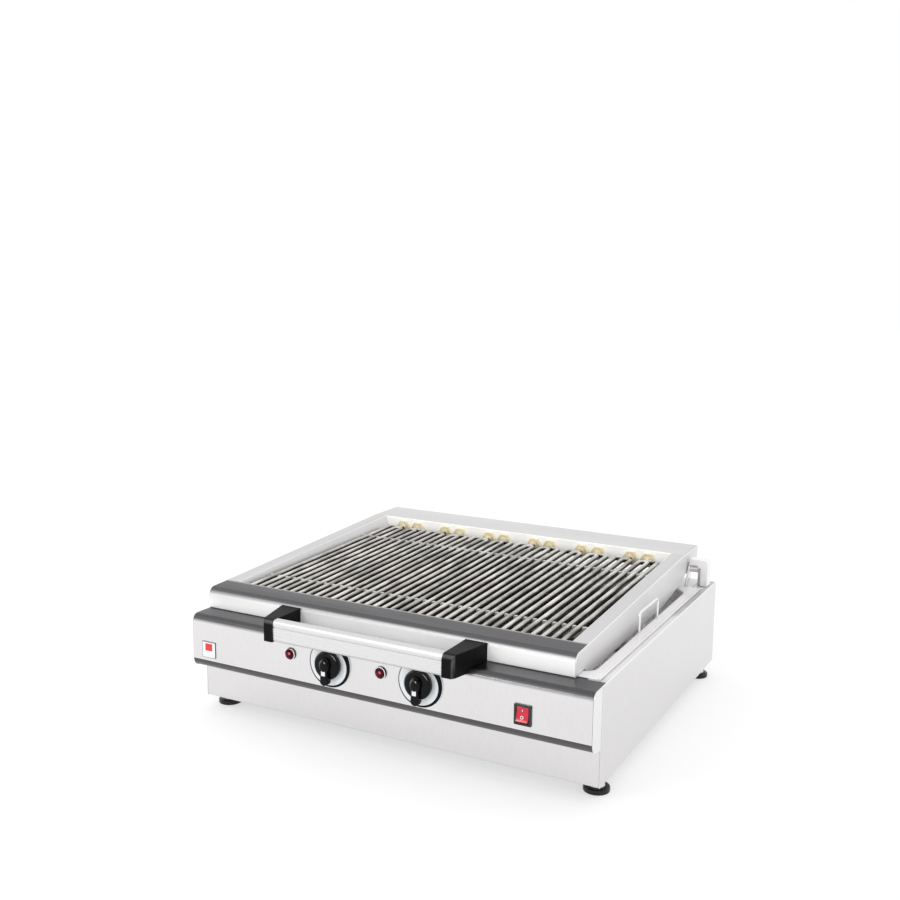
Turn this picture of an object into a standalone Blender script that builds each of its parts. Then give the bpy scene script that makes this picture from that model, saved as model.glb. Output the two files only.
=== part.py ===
"""Electric vapour grill with a tilting heating head, as separate sub-parts.

The base is a sheet-steel box that holds a lift-out water tray, the controls and the rear hinge. The head is
a four-sided frame with six rod elements, and tilts up about the rear hinge. Lengths are in metres. X runs
across the front, Z is up from the surface that the feet stand on, and outlines are written with y = 0 on the
lower front panel; place() moves everything back so that the whole grill is centred on the origin.
"""

import math

import bmesh
import bpy
from mathutils import Matrix, Vector

# Overall sizes
WIDTH = 0.700
HALF = WIDTH / 2
DEPTH = 0.5946
FOOT_HEIGHT = 0.022
BASE_TOP = 0.172
HANDLE_FRONT = -0.066
HEAD_REAR = 0.619
Y_CENTRE = (HANDLE_FRONT + HEAD_REAR) / 2
SHEET = 0.0012
GAP = 0.0003
WELD_STEP = 0.0001
ROUND = 28

# Control panel
PANEL_FACE = -0.0326
PANEL_BOTTOM = 0.0977
PANEL_RADIUS = 0.011
PANEL_LIP_RADIUS = 0.0147
PANEL_LIP_DROP = 0.0025
PANEL_TOP_REAR = 0.0140
KNOB_XS = {"left": -0.0780, "right": 0.0810}
KNOB_Z = 0.1364
LAMP_XS = {"left": -0.1527, "right": 0.0125}
LAMP_Z = 0.1390
LAMP_BARREL = 0.0062
LENS_RADIUS = 0.0080
LENS_RISE = 0.0055
REGULATOR_HALF = 0.0210
REGULATOR_FRONT = PANEL_FACE + SHEET + GAP
SPINDLE_RADIUS = 0.0030
KNOB_SOCKET = -0.0460
SWITCH_X = 0.2455
SWITCH_Z = 0.1211
ROCKER_PIVOT_Y = -0.0295
ROCKER_TILT = math.radians(10)
BADGE_X = -0.3160
BADGE_Z = 0.1165

# Water tray
TRAY_FRONT = 0.016
TRAY_REAR = 0.532
TRAY_RIM_HALF = 0.340
TRAY_INNER_HALF = 0.319
TRAY_WALL_INSET = 0.024
TRAY_DEPTH = 0.085
TRAY_HANDLE_X = 0.3235
LEDGE_INNER = 0.322

# Mains inlet
GLAND_X = -0.2500
GLAND_Z = 0.0650
GLAND_BARREL = 0.0100

# Tilting head
HEAD_LEFT = -HALF
HEAD_RIGHT = 0.3065
NOSE_FACE = 0.0091
NOSE_REAR = 0.0567
NOSE_BOTTOM = 0.1723
NOSE_RADIUS = 0.0125
NOSE_TOP_FRONT = 0.2065
RAIL_TOP_FRONT = 0.2079
RAIL_TOP_REAR = 0.2303
BOX_FRONT = 0.5343
BOX_BOTTOM = 0.2030
CHEEK_BOTTOM_FRONT = 0.1740
CHEEK_KNEE = (0.516, 0.181)
CHEEK_TAIL = (0.571, BOX_BOTTOM)
CHEEK_DIP = [(0.410, 0.1660), (0.052, 0.1610), (0.046, CHEEK_BOTTOM_FRONT)]
RAIL_RIGHT_INNER = 0.281
RAIL_LEFT_INNER = -0.3145
RAIL_LEFT_TOP_INNER = -0.3235

# Rear hinge
PIVOT_Y = 0.563
PIVOT_Z = 0.200
PIN_RADIUS = 0.0065
PIN_CLEARANCE = 0.0005
EAR_THICK = 0.0030
EAR_RIGHT = HEAD_RIGHT - SHEET - GAP
EAR_LEFT = HEAD_LEFT + SHEET + GAP
BRACKET_RIGHT = 0.3080
BRACKET_LEFT = EAR_LEFT + EAR_THICK + 0.0010
BRACKET_THICK = 0.0035

# Heating elements
ELEMENTS = 6
ELEMENT_FIRST_X = -0.2630
ELEMENT_SPACING = 0.0970
ROD_PITCH = 0.0162
ROD_RADIUS = 0.0044
ROD_FRONT_Y = 0.030
ROD_REAR_Y = 0.5030
ROD_FRONT_Z = 0.2004
ROD_REAR_Z = 0.2122
NUT_OFFSET = 0.0166
NUT_FRONT_Y = 0.5265
NUT_ACROSS_FLATS = 0.0240
CROSSOVER_Y = 0.5170
TUBE_END_Y = 0.5460
SUPPORT_YS = {"front": 0.131, "rear": 0.430}

# Handle
BAR_X = (-0.1625, 0.1325)
BAR_Y = (-0.0640, -0.0490)
HANDLE_Z = (0.1655, 0.2000)
BRACKET_WIDTH = 0.0360
BRACKET_TIP_WIDTH = 0.0195

# Levelling feet
FOOT_INSET_X = 0.0180
FOOT_INSET_Y = 0.0376
FOOT_RADIUS = 0.0197
FOOT_STEM = 0.0050

# Colour, roughness and metallic value of each material
STEEL = ((0.78, 0.78, 0.77), 0.32, 1.0)
POLISHED = ((0.85, 0.85, 0.85), 0.15, 1.0)
GALVANISED = ((0.55, 0.56, 0.57), 0.50, 1.0)
ROD = ((0.42, 0.39, 0.35), 0.45, 1.0)
ALUMINIUM = ((0.88, 0.88, 0.88), 0.22, 1.0)
BLACK_PLASTIC = ((0.02, 0.02, 0.02), 0.50, 0.0)
GLOSS_BLACK = ((0.015, 0.015, 0.015), 0.15, 0.0)
RED_LENS = ((0.45, 0.02, 0.02), 0.10, 0.0)
RED_PLASTIC = ((0.75, 0.02, 0.03), 0.30, 0.0)
BRASS = ((0.80, 0.70, 0.45), 0.35, 1.0)
CERAMIC = ((0.80, 0.78, 0.72), 0.60, 0.0)
BADGE_WHITE = ((0.85, 0.85, 0.83), 0.40, 0.0)

for leftover in list(bpy.data.objects):
    bpy.data.objects.remove(leftover)
PARTS = bpy.data.collections.new("vapour_grill")
CUTTERS = bpy.data.collections.new("cutters")
for group in (PARTS, CUTTERS):
    bpy.context.scene.collection.children.link(group)


# ---------------------------------------------------------------------------------------------- tools

def place(x, y, z):
    """The world position of a point given with y = 0 on the lower front panel."""
    return Vector((x, y - Y_CENTRE, z))


def mesh_object(name, mesh, look, origin=(0, Y_CENTRE, 0)):
    """Link a world-space mesh as one part, with its origin moved to the given point."""
    shift = place(*origin)
    mesh.transform(Matrix.Translation(-shift))
    part = bpy.data.objects.new(name, mesh)
    part.location = shift
    if look is None:
        part.hide_render = True
        part.display_type = "WIRE"
        CUTTERS.objects.link(part)
        return part
    colour, roughness, metallic = look
    material = bpy.data.materials.new(name)
    material.use_nodes = True
    surface = material.node_tree.nodes["Principled BSDF"]
    surface.inputs["Base Color"].default_value = (*colour, 1.0)
    surface.inputs["Roughness"].default_value = roughness
    surface.inputs["Metallic"].default_value = metallic
    mesh.materials.clear()
    mesh.materials.append(material)
    PARTS.objects.link(part)
    return part


def box(name, xs, ys, zs, look=None):
    """An upright box between pairs of x, y and z."""
    low, high = (place(*corner) for corner in zip(xs, ys, zs))
    bm = bmesh.new()
    bmesh.ops.create_cube(bm, size=1.0)
    bmesh.ops.scale(bm, vec=high - low, verts=bm.verts)
    bmesh.ops.translate(bm, vec=(high + low) / 2, verts=bm.verts)
    mesh = bpy.data.meshes.new(name)
    bm.to_mesh(mesh)
    bm.free()
    return mesh_object(name, mesh, look)


AXIS_TURNS = {
    "X": Matrix.Rotation(math.radians(90), 4, "Y"),
    "Y": Matrix.Rotation(math.radians(90), 4, "X"),
    "Z": Matrix.Identity(4),
}


def cylinder(name, centre, radius, length, axis, look=None, sides=ROUND):
    """A cylinder, or a prism with few sides, centred on a point along X, Y or Z."""
    bm = bmesh.new()
    bmesh.ops.create_cone(bm, cap_ends=True, segments=sides, radius1=radius, radius2=radius, depth=length)
    bmesh.ops.transform(bm, matrix=Matrix.Translation(place(*centre)) @ AXIS_TURNS[axis], verts=bm.verts)
    mesh = bpy.data.meshes.new(name)
    bm.to_mesh(mesh)
    bm.free()
    return mesh_object(name, mesh, look, centre)


def curve_mesh(name, curve):
    """Turn a curve into a welded closed mesh."""
    holder = bpy.data.objects.new(name, curve)
    bpy.context.scene.collection.objects.link(holder)
    bpy.context.view_layer.update()
    mesh = bpy.data.meshes.new_from_object(holder.evaluated_get(bpy.context.evaluated_depsgraph_get()))
    bpy.data.objects.remove(holder)
    bm = bmesh.new()
    bm.from_mesh(mesh)
    bmesh.ops.remove_doubles(bm, verts=bm.verts, dist=0.00001)
    bmesh.ops.recalc_face_normals(bm, faces=bm.faces)
    bm.to_mesh(mesh)
    bm.free()
    return mesh


# Each extrusion axis with the turn that takes a flat outline's own x, y and depth into the world.
OUTLINE_TURNS = {
    "X": Matrix(((0, 0, 1, 0), (1, 0, 0, 0), (0, 1, 0, 0), (0, 0, 0, 1))),
    "Y": Matrix(((1, 0, 0, 0), (0, 0, -1, 0), (0, 1, 0, 0), (0, 0, 0, 1))),
    "Z": Matrix.Identity(4),
}


def extrusion(name, outline, span, axis, look=None, origin=(0, Y_CENTRE, 0)):
    """Extrude a flat outline along X (outline in y, z), Y (in x, z) or Z (in x, y) between two places."""
    curve = bpy.data.curves.new(name, "CURVE")
    curve.dimensions = "2D"
    curve.fill_mode = "BOTH"
    curve.extrude = (span[1] - span[0]) / 2
    spline = curve.splines.new("POLY")
    spline.points.add(len(outline) - 1)
    for point, (across, up) in zip(spline.points, outline):
        point.co = (across, up, 0.0, 1.0)
    spline.use_cyclic_u = True
    mesh = curve_mesh(name, curve)
    middle = (span[0] + span[1]) / 2
    offset = {"X": place(middle, 0, 0), "Y": place(0, middle, 0), "Z": place(0, 0, middle)}[axis]
    mesh.transform(Matrix.Translation(offset) @ OUTLINE_TURNS[axis])
    return mesh_object(name, mesh, look, origin)


def tube(name, points, radius, look=None, rings=2):
    """A round rod along a list of points, with flat ends."""
    curve = bpy.data.curves.new(name, "CURVE")
    curve.dimensions = "3D"
    curve.bevel_depth = radius
    curve.bevel_resolution = rings
    curve.use_fill_caps = True
    spline = curve.splines.new("POLY")
    spline.points.add(len(points) - 1)
    for point, spot in zip(spline.points, points):
        point.co = (*place(*spot), 1.0)
    return mesh_object(name, curve_mesh(name, curve), look)


def turned(name, centre, profile, look, sides=ROUND, facing=-1):
    """Turn a closed (radius, distance) profile about an axis along Y; distance grows to the front."""
    bm = bmesh.new()
    corners = [bm.verts.new((radius, 0.0, along)) for radius, along in profile]
    for start, end in zip(corners, corners[1:]):
        bm.edges.new((start, end))
    if profile[0][0] > 0.0:
        bm.edges.new((corners[-1], corners[0]))
    mesh = bpy.data.meshes.new(name)
    bm.to_mesh(mesh)
    bm.free()
    holder = bpy.data.objects.new(name, mesh)
    bpy.context.scene.collection.objects.link(holder)
    screw = holder.modifiers.new("turn", "SCREW")
    screw.axis = "Z"
    screw.steps = sides
    screw.render_steps = sides
    screw.use_merge_vertices = True
    screw.merge_threshold = 0.00001
    bpy.context.view_layer.update()
    solid = bpy.data.meshes.new_from_object(holder.evaluated_get(bpy.context.evaluated_depsgraph_get()))
    bpy.data.objects.remove(holder)
    bm = bmesh.new()
    bm.from_mesh(solid)
    bmesh.ops.remove_doubles(bm, verts=bm.verts, dist=0.00001)
    bmesh.ops.recalc_face_normals(bm, faces=bm.faces)
    bm.to_mesh(solid)
    bm.free()
    turn = Matrix.Rotation(math.radians(-90 * facing), 4, "X")
    solid.transform(Matrix.Translation(place(*centre)) @ turn)
    return mesh_object(name, solid, look, centre)


def combine(part, other, operation):
    """Join another solid to a part, or cut it away, and keep the result as the part's own mesh."""
    change = part.modifiers.new(operation.lower(), "BOOLEAN")
    change.operation = operation
    change.solver = "EXACT"
    change.object = other
    bpy.context.view_layer.update()
    result = bpy.data.meshes.new_from_object(part.evaluated_get(bpy.context.evaluated_depsgraph_get()))
    part.modifiers.clear()
    part.data = result
    bpy.data.objects.remove(other)
    return part


def cut(part, *cutters):
    """Cut each cutter away from a part."""
    for cutter in cutters:
        combine(part, cutter, "DIFFERENCE")
    return part


def join(part, *others):
    """Fuse other solids onto a part, as one piece of material."""
    for other in others:
        combine(part, other, "UNION")
    return part


def soften(part, width, segments=2):
    """Round the sharp edges of a moulded part."""
    bevel = part.modifiers.new("soft edges", "BEVEL")
    bevel.width = width
    bevel.segments = segments
    bevel.limit_method = "ANGLE"
    bevel.angle_limit = math.radians(40)


def arc(centre, radius, start, end, steps):
    """Points on an arc, from one angle to another in degrees."""
    angles = [math.radians(start + (end - start) * step / steps) for step in range(steps + 1)]
    return [(centre[0] + radius * math.cos(a), centre[1] + radius * math.sin(a)) for a in angles]


def band(outer, thickness):
    """Close an open outline into a sheet of even thickness, on the left of its direction."""
    inner = []
    for index, (across, up) in enumerate(outer):
        before = outer[max(index - 1, 0)]
        after = outer[min(index + 1, len(outer) - 1)]
        way = Vector((after[0] - before[0], after[1] - before[1])).normalized()
        stretch = 1.0
        if 0 < index < len(outer) - 1:
            first = Vector((across - before[0], up - before[1])).normalized()
            stretch = 1.0 / max(0.5, first.dot(way))
        inner.append((across - way.y * thickness * stretch, up + way.x * thickness * stretch))
    return list(outer) + inner[::-1]


# ---------------------------------------------------------------------------------------------- base

def make_base_panels():
    """The sheet-metal box: sides with ledges, rear with its deck, bottom, lower front and heat shield."""
    inside = HALF - SHEET
    for side, sign in (("left", -1), ("right", 1)):
        plate = box(f"side_panel_{side}", sorted((sign * inside, sign * HALF)), (0.0, DEPTH),
                    (FOOT_HEIGHT, BASE_TOP), STEEL)
        ledge = box("ledge", sorted((sign * LEDGE_INNER, sign * (HALF - SHEET / 2))),
                    (PANEL_TOP_REAR + GAP, DEPTH - SHEET - GAP), (BASE_TOP - SHEET, BASE_TOP))
        join(plate, ledge)

    rear = box("rear_panel", (-inside + GAP, inside - GAP), (DEPTH - SHEET, DEPTH),
               (FOOT_HEIGHT, BASE_TOP), STEEL)
    deck = box("deck", (-LEDGE_INNER + GAP, LEDGE_INNER - GAP), (TRAY_REAR + GAP, DEPTH - SHEET / 2),
               (BASE_TOP - SHEET, BASE_TOP))
    join(rear, deck)
    cut(rear, cylinder("gland hole", (GLAND_X, DEPTH, GLAND_Z), GLAND_BARREL + GAP, 0.02, "Y"))

    floor = box("bottom_panel", (-inside + GAP, inside - GAP), (SHEET + GAP, DEPTH - SHEET - GAP),
                (FOOT_HEIGHT, FOOT_HEIGHT + SHEET), GALVANISED)
    for x, y in foot_places().values():
        cut(floor, cylinder("foot hole", (x, y, FOOT_HEIGHT), FOOT_STEM + PIN_CLEARANCE, 0.02, "Z", sides=12))

    box("lower_front_panel", (-inside + GAP, inside - GAP), (0.0, SHEET),
        (FOOT_HEIGHT, KNOB_Z - REGULATOR_HALF - 4 * SHEET), STEEL)
    box("heat_shield", (-inside + GAP, inside - GAP), (0.0250, 0.0250 + SHEET),
        (FOOT_HEIGHT + SHEET + GAP, BASE_TOP - SHEET - GAP), GALVANISED)


def panel_outline():
    """The control panel's outside, from its rear top edge over the front to its rear bottom edge."""
    round_centre = (PANEL_FACE + PANEL_RADIUS, BASE_TOP - PANEL_RADIUS)
    lip = arc((PANEL_FACE + PANEL_LIP_RADIUS, PANEL_BOTTOM), PANEL_LIP_RADIUS, 180, 270, 5)
    return ([(PANEL_TOP_REAR, BASE_TOP)] + arc(round_centre, PANEL_RADIUS, 90, 180, 5)
            + lip + [(-GAP, PANEL_BOTTOM - PANEL_LIP_RADIUS - PANEL_LIP_DROP)])


def make_control_panel():
    """The folded control panel with its openings, and a flush cap on each end."""
    inside = HALF - SHEET - GAP
    outline = panel_outline()
    panel = extrusion("control_panel", band(outline, SHEET), (-inside, inside), "X", STEEL)
    for x in KNOB_XS.values():
        cut(panel, cylinder("knob hole", (x, PANEL_FACE, KNOB_Z), 0.0060, 0.01, "Y", sides=16))
    for x in LAMP_XS.values():
        cut(panel, cylinder("lamp hole", (x, PANEL_FACE, LAMP_Z), LAMP_BARREL + GAP, 0.01, "Y", sides=16))
    cut(panel, box("switch hole", (SWITCH_X - 0.0115, SWITCH_X + 0.0115), (PANEL_FACE - 0.01, 0.0),
                   (SWITCH_Z - 0.0135, SWITCH_Z + 0.0135)))
    cap = [(-GAP, BASE_TOP)] + outline[1:]
    for side, xs in (("left", (-HALF, -HALF + SHEET)), ("right", (HALF - SHEET, HALF))):
        extrusion(f"panel_end_cap_{side}", cap, xs, "X", STEEL)


def make_water_tray():
    """The lift-out water tray: a pan with a wide rim, a raised bead along each side, and a wire handle."""
    rim_z = (BASE_TOP + GAP, BASE_TOP + GAP + SHEET)
    pan_y = (TRAY_FRONT + TRAY_WALL_INSET, TRAY_REAR - TRAY_WALL_INSET)
    pan_floor = rim_z[1] - TRAY_DEPTH
    tray = box("water_tray", (-TRAY_RIM_HALF, TRAY_RIM_HALF), (TRAY_FRONT, TRAY_REAR - GAP), rim_z, STEEL)
    join(tray, box("pan", (-TRAY_INNER_HALF - SHEET, TRAY_INNER_HALF + SHEET),
                   (pan_y[0] - SHEET, pan_y[1] + SHEET), (pan_floor - SHEET, rim_z[1] - SHEET / 2)))
    for sign in (-1, 1):
        join(tray, box("bead", sorted((sign * (TRAY_RIM_HALF - 0.004), sign * TRAY_RIM_HALF)),
                       (TRAY_FRONT, TRAY_REAR - GAP), (rim_z[0] + SHEET / 2, rim_z[1] + 0.0012)))
    cut(tray, box("water", (-TRAY_INNER_HALF, TRAY_INNER_HALF), pan_y, (pan_floor, rim_z[1] + 0.02)))

    foot_z = rim_z[1] + GAP
    top_z = foot_z + 0.0345
    front_y, rear_y, bend = 0.2315, 0.3235, 0.006
    loop = [(front_y, foot_z)] + arc((front_y + bend, top_z - bend), bend, 180, 90, 3)
    loop += arc((rear_y - bend, top_z - bend), bend, 90, 0, 3) + [(rear_y, foot_z)]
    tube("tray_handle", [(TRAY_HANDLE_X, y, z) for y, z in loop], 0.0020, POLISHED)


def foot_places():
    """The plan position of each levelling foot."""
    across = HALF - FOOT_INSET_X
    rows = {"front": FOOT_INSET_Y, "rear": DEPTH - FOOT_INSET_Y}
    return {f"{row}_{side}": (sign * across, y)
            for row, y in rows.items() for side, sign in (("left", -1), ("right", 1))}


def make_feet():
    """Four levelling feet: a broad disc on a stem that screws up through the bottom panel."""
    for name, (x, y) in foot_places().items():
        foot = cylinder(f"foot_{name}", (x, y, 0.004), FOOT_RADIUS, 0.008, "Z", BLACK_PLASTIC)
        join(foot, cylinder("collar", (x, y, 0.010), 0.0120, 0.006, "Z", sides=16),
             cylinder("stem", (x, y, 0.020), FOOT_STEM, 0.030, "Z", sides=12))


def make_mains_inlet():
    """The cable gland on the rear panel and the terminal block behind it."""
    turned("cable_gland", (GLAND_X, DEPTH + GAP, GLAND_Z),
           [(0.0065, -0.012), (GLAND_BARREL, -0.012), (GLAND_BARREL, 0.0), (0.0145, 0.0), (0.0145, 0.006),
            (0.0130, 0.006), (0.0130, 0.014), (0.0100, 0.019), (0.0065, 0.019)], BLACK_PLASTIC,
           sides=20, facing=1)
    box("terminal_block", (-0.2850, -0.2250), (0.5450, 0.5750), (0.0260, 0.0480), CERAMIC)


# ---------------------------------------------------------------------------------------------- controls

def make_rotary_control(side, x):
    """One heat control: dial plate, knob, spindle and the energy regulator behind the panel."""
    turned(f"dial_plate_{side}", (x, PANEL_FACE - GAP, KNOB_Z),
           [(0.0060, 0.0), (0.0350, 0.0), (0.0350, 0.0010), (0.0340, 0.0016), (0.0060, 0.0016)], POLISHED)

    knob = cylinder(f"knob_{side}", (x, -0.0403, KNOB_Z), 0.0235, 0.0100, "Y", GLOSS_BLACK, sides=32)
    grip = [(x + across, KNOB_Z + up) for across, up in
            arc((0, 0.0155), 0.0075, 0, 180, 6) + arc((0, -0.0205), 0.0075, 180, 360, 6)]
    join(knob, extrusion("grip", grip, (-0.0560, -0.0400), "Y"))
    socket = cylinder("socket", (x, KNOB_SOCKET + 0.01, KNOB_Z), SPINDLE_RADIUS + GAP, 0.02, "Y", sides=16)
    cut(knob, socket)

    cylinder(f"spindle_{side}", (x, (KNOB_SOCKET + GAP - 0.0200) / 2, KNOB_Z), SPINDLE_RADIUS,
             -0.0200 - KNOB_SOCKET - GAP, "Y", POLISHED, sides=16)
    regulator = box(f"regulator_{side}", (x - REGULATOR_HALF, x + REGULATOR_HALF), (REGULATOR_FRONT, 0.0100),
                    (KNOB_Z - REGULATOR_HALF, KNOB_Z + REGULATOR_HALF), BLACK_PLASTIC)
    cut(regulator, cylinder("bush", (x, REGULATOR_FRONT, KNOB_Z), SPINDLE_RADIUS + PIN_CLEARANCE, 0.0260, "Y",
                            sides=16))


def make_lamp(side, x):
    """One pilot lamp: a chrome bezel with its barrel, and a domed red lens in front."""
    turned(f"lamp_bezel_{side}", (x, PANEL_FACE - GAP, LAMP_Z),
           [(0.0, -0.0200), (LAMP_BARREL, -0.0200), (LAMP_BARREL, 0.0), (0.0096, 0.0), (0.0096, 0.0036),
            (0.0090, 0.0042), (0.0083, 0.0042), (0.0083, 0.0030), (0.0, 0.0030)], POLISHED, sides=20)
    dome = [(LENS_RADIUS * across, 0.0033 + LENS_RISE * along) for across, along in arc((0, 0), 1.0, 0, 90, 4)]
    turned(f"lamp_lens_{side}", (x, PANEL_FACE - GAP, LAMP_Z),
           [(0.0, 0.0033)] + dome[:-1] + [(0.0, 0.0033 + LENS_RISE)], RED_LENS, sides=20)


def make_rocker_switch():
    """The mains switch: a snap-in housing with a cavity, and the rocker at rest with its top pressed in."""
    housing = box("switch_housing", (SWITCH_X - 0.01335, SWITCH_X + 0.01335),
                  (PANEL_FACE - GAP - 0.0022, PANEL_FACE - GAP), (SWITCH_Z - 0.0153, SWITCH_Z + 0.0153),
                  BLACK_PLASTIC)
    join(housing, box("housing body", (SWITCH_X - 0.0112, SWITCH_X + 0.0112), (PANEL_FACE - 0.0012, -0.0040),
                      (SWITCH_Z - 0.0132, SWITCH_Z + 0.0132)))
    cut(housing, box("cavity", (SWITCH_X - 0.0098, SWITCH_X + 0.0098), (-0.0450, -0.0200),
                     (SWITCH_Z - 0.0124, SWITCH_Z + 0.0124)))
    neutral = [(-0.0072, 0.0112), (-0.0055, 0.0), (-0.0072, -0.0112), (0.0, -0.0104), (0.0060, -0.0040),
               (0.0060, 0.0040), (0.0, 0.0104)]
    turn = Matrix.Rotation(-ROCKER_TILT, 2)
    tilted = [turn @ Vector(point) for point in neutral]
    outline = [(ROCKER_PIVOT_Y + point.x, SWITCH_Z + point.y) for point in tilted]
    extrusion("rocker", outline, (SWITCH_X - 0.0092, SWITCH_X + 0.0092), "X", RED_PLASTIC,
              origin=(SWITCH_X, ROCKER_PIVOT_Y, SWITCH_Z))


def make_badge():
    """The blank plate at the left end of the control panel."""
    box("badge", (BADGE_X - 0.0135, BADGE_X + 0.0135), (PANEL_FACE - GAP - 0.0008, PANEL_FACE - GAP),
        (BADGE_Z - 0.0135, BADGE_Z + 0.0135), BADGE_WHITE)


# ---------------------------------------------------------------------------------------------- hinge

def make_hinge():
    """Base side of the rear hinge: a sloping bracket and a pin at each side, and the wiring elbow."""
    stand_z = BASE_TOP + GAP
    pin_reach = {"left": (-0.0042, 0.0020), "right": (-0.0060, 0.0140)}
    for side, x in (("left", BRACKET_LEFT), ("right", BRACKET_RIGHT)):
        crown = arc((PIVOT_Y, PIVOT_Z), 0.0110, 150, -45, 8)
        bracket = extrusion(f"hinge_bracket_{side}", [(0.5330, stand_z)] + crown + [(0.5490, stand_z)],
                            (x, x + BRACKET_THICK), "X", STEEL)
        cut(bracket, cylinder("pin hole", (x, PIVOT_Y, PIVOT_Z), PIN_RADIUS + GAP, 0.02, "X"))
        low, high = x + pin_reach[side][0], x + BRACKET_THICK + pin_reach[side][1]
        cylinder(f"hinge_pin_{side}", ((low + high) / 2, PIVOT_Y, PIVOT_Z), PIN_RADIUS, high - low, "X",
                 POLISHED)

    leg_x, leg_y, arm_z, corner = (0.3265, 0.3455), (0.5490, 0.5690), (0.2085, 0.2210), 0.0060
    arm_end = BRACKET_RIGHT + BRACKET_THICK + GAP
    outline = ([(leg_x[0], stand_z), (leg_x[1], stand_z)]
               + arc((leg_x[1] - corner, arm_z[1] - corner), corner, 0, 90, 4)
               + [(arm_end, arm_z[1]), (arm_end, arm_z[0])]
               + arc((leg_x[0] - 0.002, arm_z[0] - 0.002), 0.002, 90, 0, 2))
    extrusion("hinge_elbow", outline, leg_y, "Y", STEEL)


# ---------------------------------------------------------------------------------------------- head

def rail_top(y):
    """Height of the sloping rails' top at a given y, level over the nose and the rear box."""
    share = (y - NOSE_REAR) / (BOX_FRONT - NOSE_REAR)
    return RAIL_TOP_FRONT + (RAIL_TOP_REAR - RAIL_TOP_FRONT) * min(max(share, 0.0), 1.0)


def nose_outline(face=NOSE_FACE, bottom=NOSE_BOTTOM):
    """The nose's outside, from the bottom of its face up and back to its rear edge."""
    centre = (face + NOSE_RADIUS, NOSE_TOP_FRONT - NOSE_RADIUS)
    return [(face, bottom)] + arc(centre, NOSE_RADIUS, 180, 100, 5) + [(NOSE_REAR, RAIL_TOP_FRONT)]


def make_rail(side, outer_x, top_inner_x, inner_x, dip):
    """One side of the head: an outer cheek from nose to tail, a sloping top and an inner wall.

    The wall leans from the top's inner edge to inner_x at its rear foot. The dip is the cheek's part that
    hangs into the water tray.
    """
    inward = 1 if inner_x > outer_x else -1
    cheek = nose_outline(NOSE_FACE, CHEEK_BOTTOM_FRONT)
    cheek += [(BOX_FRONT, RAIL_TOP_REAR), (HEAD_REAR, RAIL_TOP_REAR), (HEAD_REAR, BOX_BOTTOM), CHEEK_TAIL,
              CHEEK_KNEE] + dip
    rail = extrusion(f"rail_{side}", cheek, sorted((outer_x, outer_x + inward * SHEET)), "X", STEEL)
    start, end = NOSE_REAR + GAP, BOX_FRONT - GAP
    top_start, top_end = rail_top(start) - WELD_STEP, rail_top(end) - WELD_STEP
    strip = [(start, top_start), (end, top_end), (end, top_end - SHEET), (start, top_start - SHEET)]
    wall = [(start + WELD_STEP, top_start - SHEET / 2), (end - WELD_STEP, top_end - SHEET / 2),
            (end - WELD_STEP, 0.1990), (start + WELD_STEP, 0.1900)]
    wall_x = top_inner_x - inward * WELD_STEP
    wall_sheet = extrusion("wall", wall, sorted((wall_x - inward * SHEET, wall_x)), "X")
    lean(wall_sheet, (inner_x - top_inner_x) / (top_end - 0.1990), start, top_start, end, top_end)
    join(rail, extrusion("strip", strip, sorted((outer_x + inward * SHEET / 2, top_inner_x)), "X"), wall_sheet)
    cut(rail, cylinder("pin clearance", (outer_x, PIVOT_Y, PIVOT_Z), PIN_RADIUS + 0.0012, 0.02, "X"))


def lean(part, rate, start, top_start, end, top_end):
    """Shear a wall along X by the given rate for each metre that a point lies below the sloping top."""
    slope = (top_end - top_start) / (end - start)
    shear = Matrix.Identity(4)
    shear[0][1] = rate * slope
    shear[0][2] = -rate
    shear[0][3] = rate * (top_start - slope * (start - Y_CENTRE))
    place_back = Matrix.Translation(part.location)
    part.data.transform(place_back.inverted() @ shear @ place_back)


def make_hinge_ear(side, x):
    """Head side of the rear hinge: a plate welded inside the cheek, with the pin's bore."""
    top = BOX_BOTTOM + 0.0080
    outline = [(PIVOT_Y + 0.0110, top), (PIVOT_Y - 0.0110, top)]
    outline += arc((PIVOT_Y, PIVOT_Z), 0.0110, 180, 360, 8)
    ear = extrusion(f"hinge_ear_{side}", outline, (x, x + EAR_THICK), "X", GALVANISED)
    cut(ear, cylinder("bore", (x, PIVOT_Y, PIVOT_Z), PIN_RADIUS + PIN_CLEARANCE, 0.02, "X"))


def make_head_frame():
    """The nose, both rails, the rear box with its cover, and the hinge ears."""
    between_cheeks = (HEAD_LEFT + SHEET + GAP, HEAD_RIGHT - SHEET - GAP)
    extrusion("nose", band(nose_outline()[::-1], SHEET), between_cheeks, "X", STEEL)
    make_rail("left", HEAD_LEFT, RAIL_LEFT_TOP_INNER, RAIL_LEFT_INNER, [])
    make_rail("right", HEAD_RIGHT, RAIL_RIGHT_INNER, RAIL_RIGHT_INNER, CHEEK_DIP)

    channel = [(HEAD_REAR, BOX_BOTTOM), (HEAD_REAR, RAIL_TOP_REAR), (BOX_FRONT, RAIL_TOP_REAR),
               (BOX_FRONT, BOX_BOTTOM)]
    rear_box = extrusion("rear_box", band(channel, SHEET), between_cheeks, "X", STEEL)
    for x in element_centres():
        for sign in (-1, 1):
            cut(rear_box, cylinder("tube hole", (x + sign * NUT_OFFSET, BOX_FRONT, ROD_REAR_Z),
                                   ROD_RADIUS + PIN_CLEARANCE, 0.01, "Y", sides=12))
    box("rear_box_cover", (RAIL_LEFT_INNER, EAR_RIGHT - EAR_THICK - GAP),
        (BOX_FRONT + SHEET + GAP, HEAD_REAR - SHEET - GAP), (BOX_BOTTOM, BOX_BOTTOM + SHEET), GALVANISED)
    make_hinge_ear("right", EAR_RIGHT - EAR_THICK)
    make_hinge_ear("left", EAR_LEFT)


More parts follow.
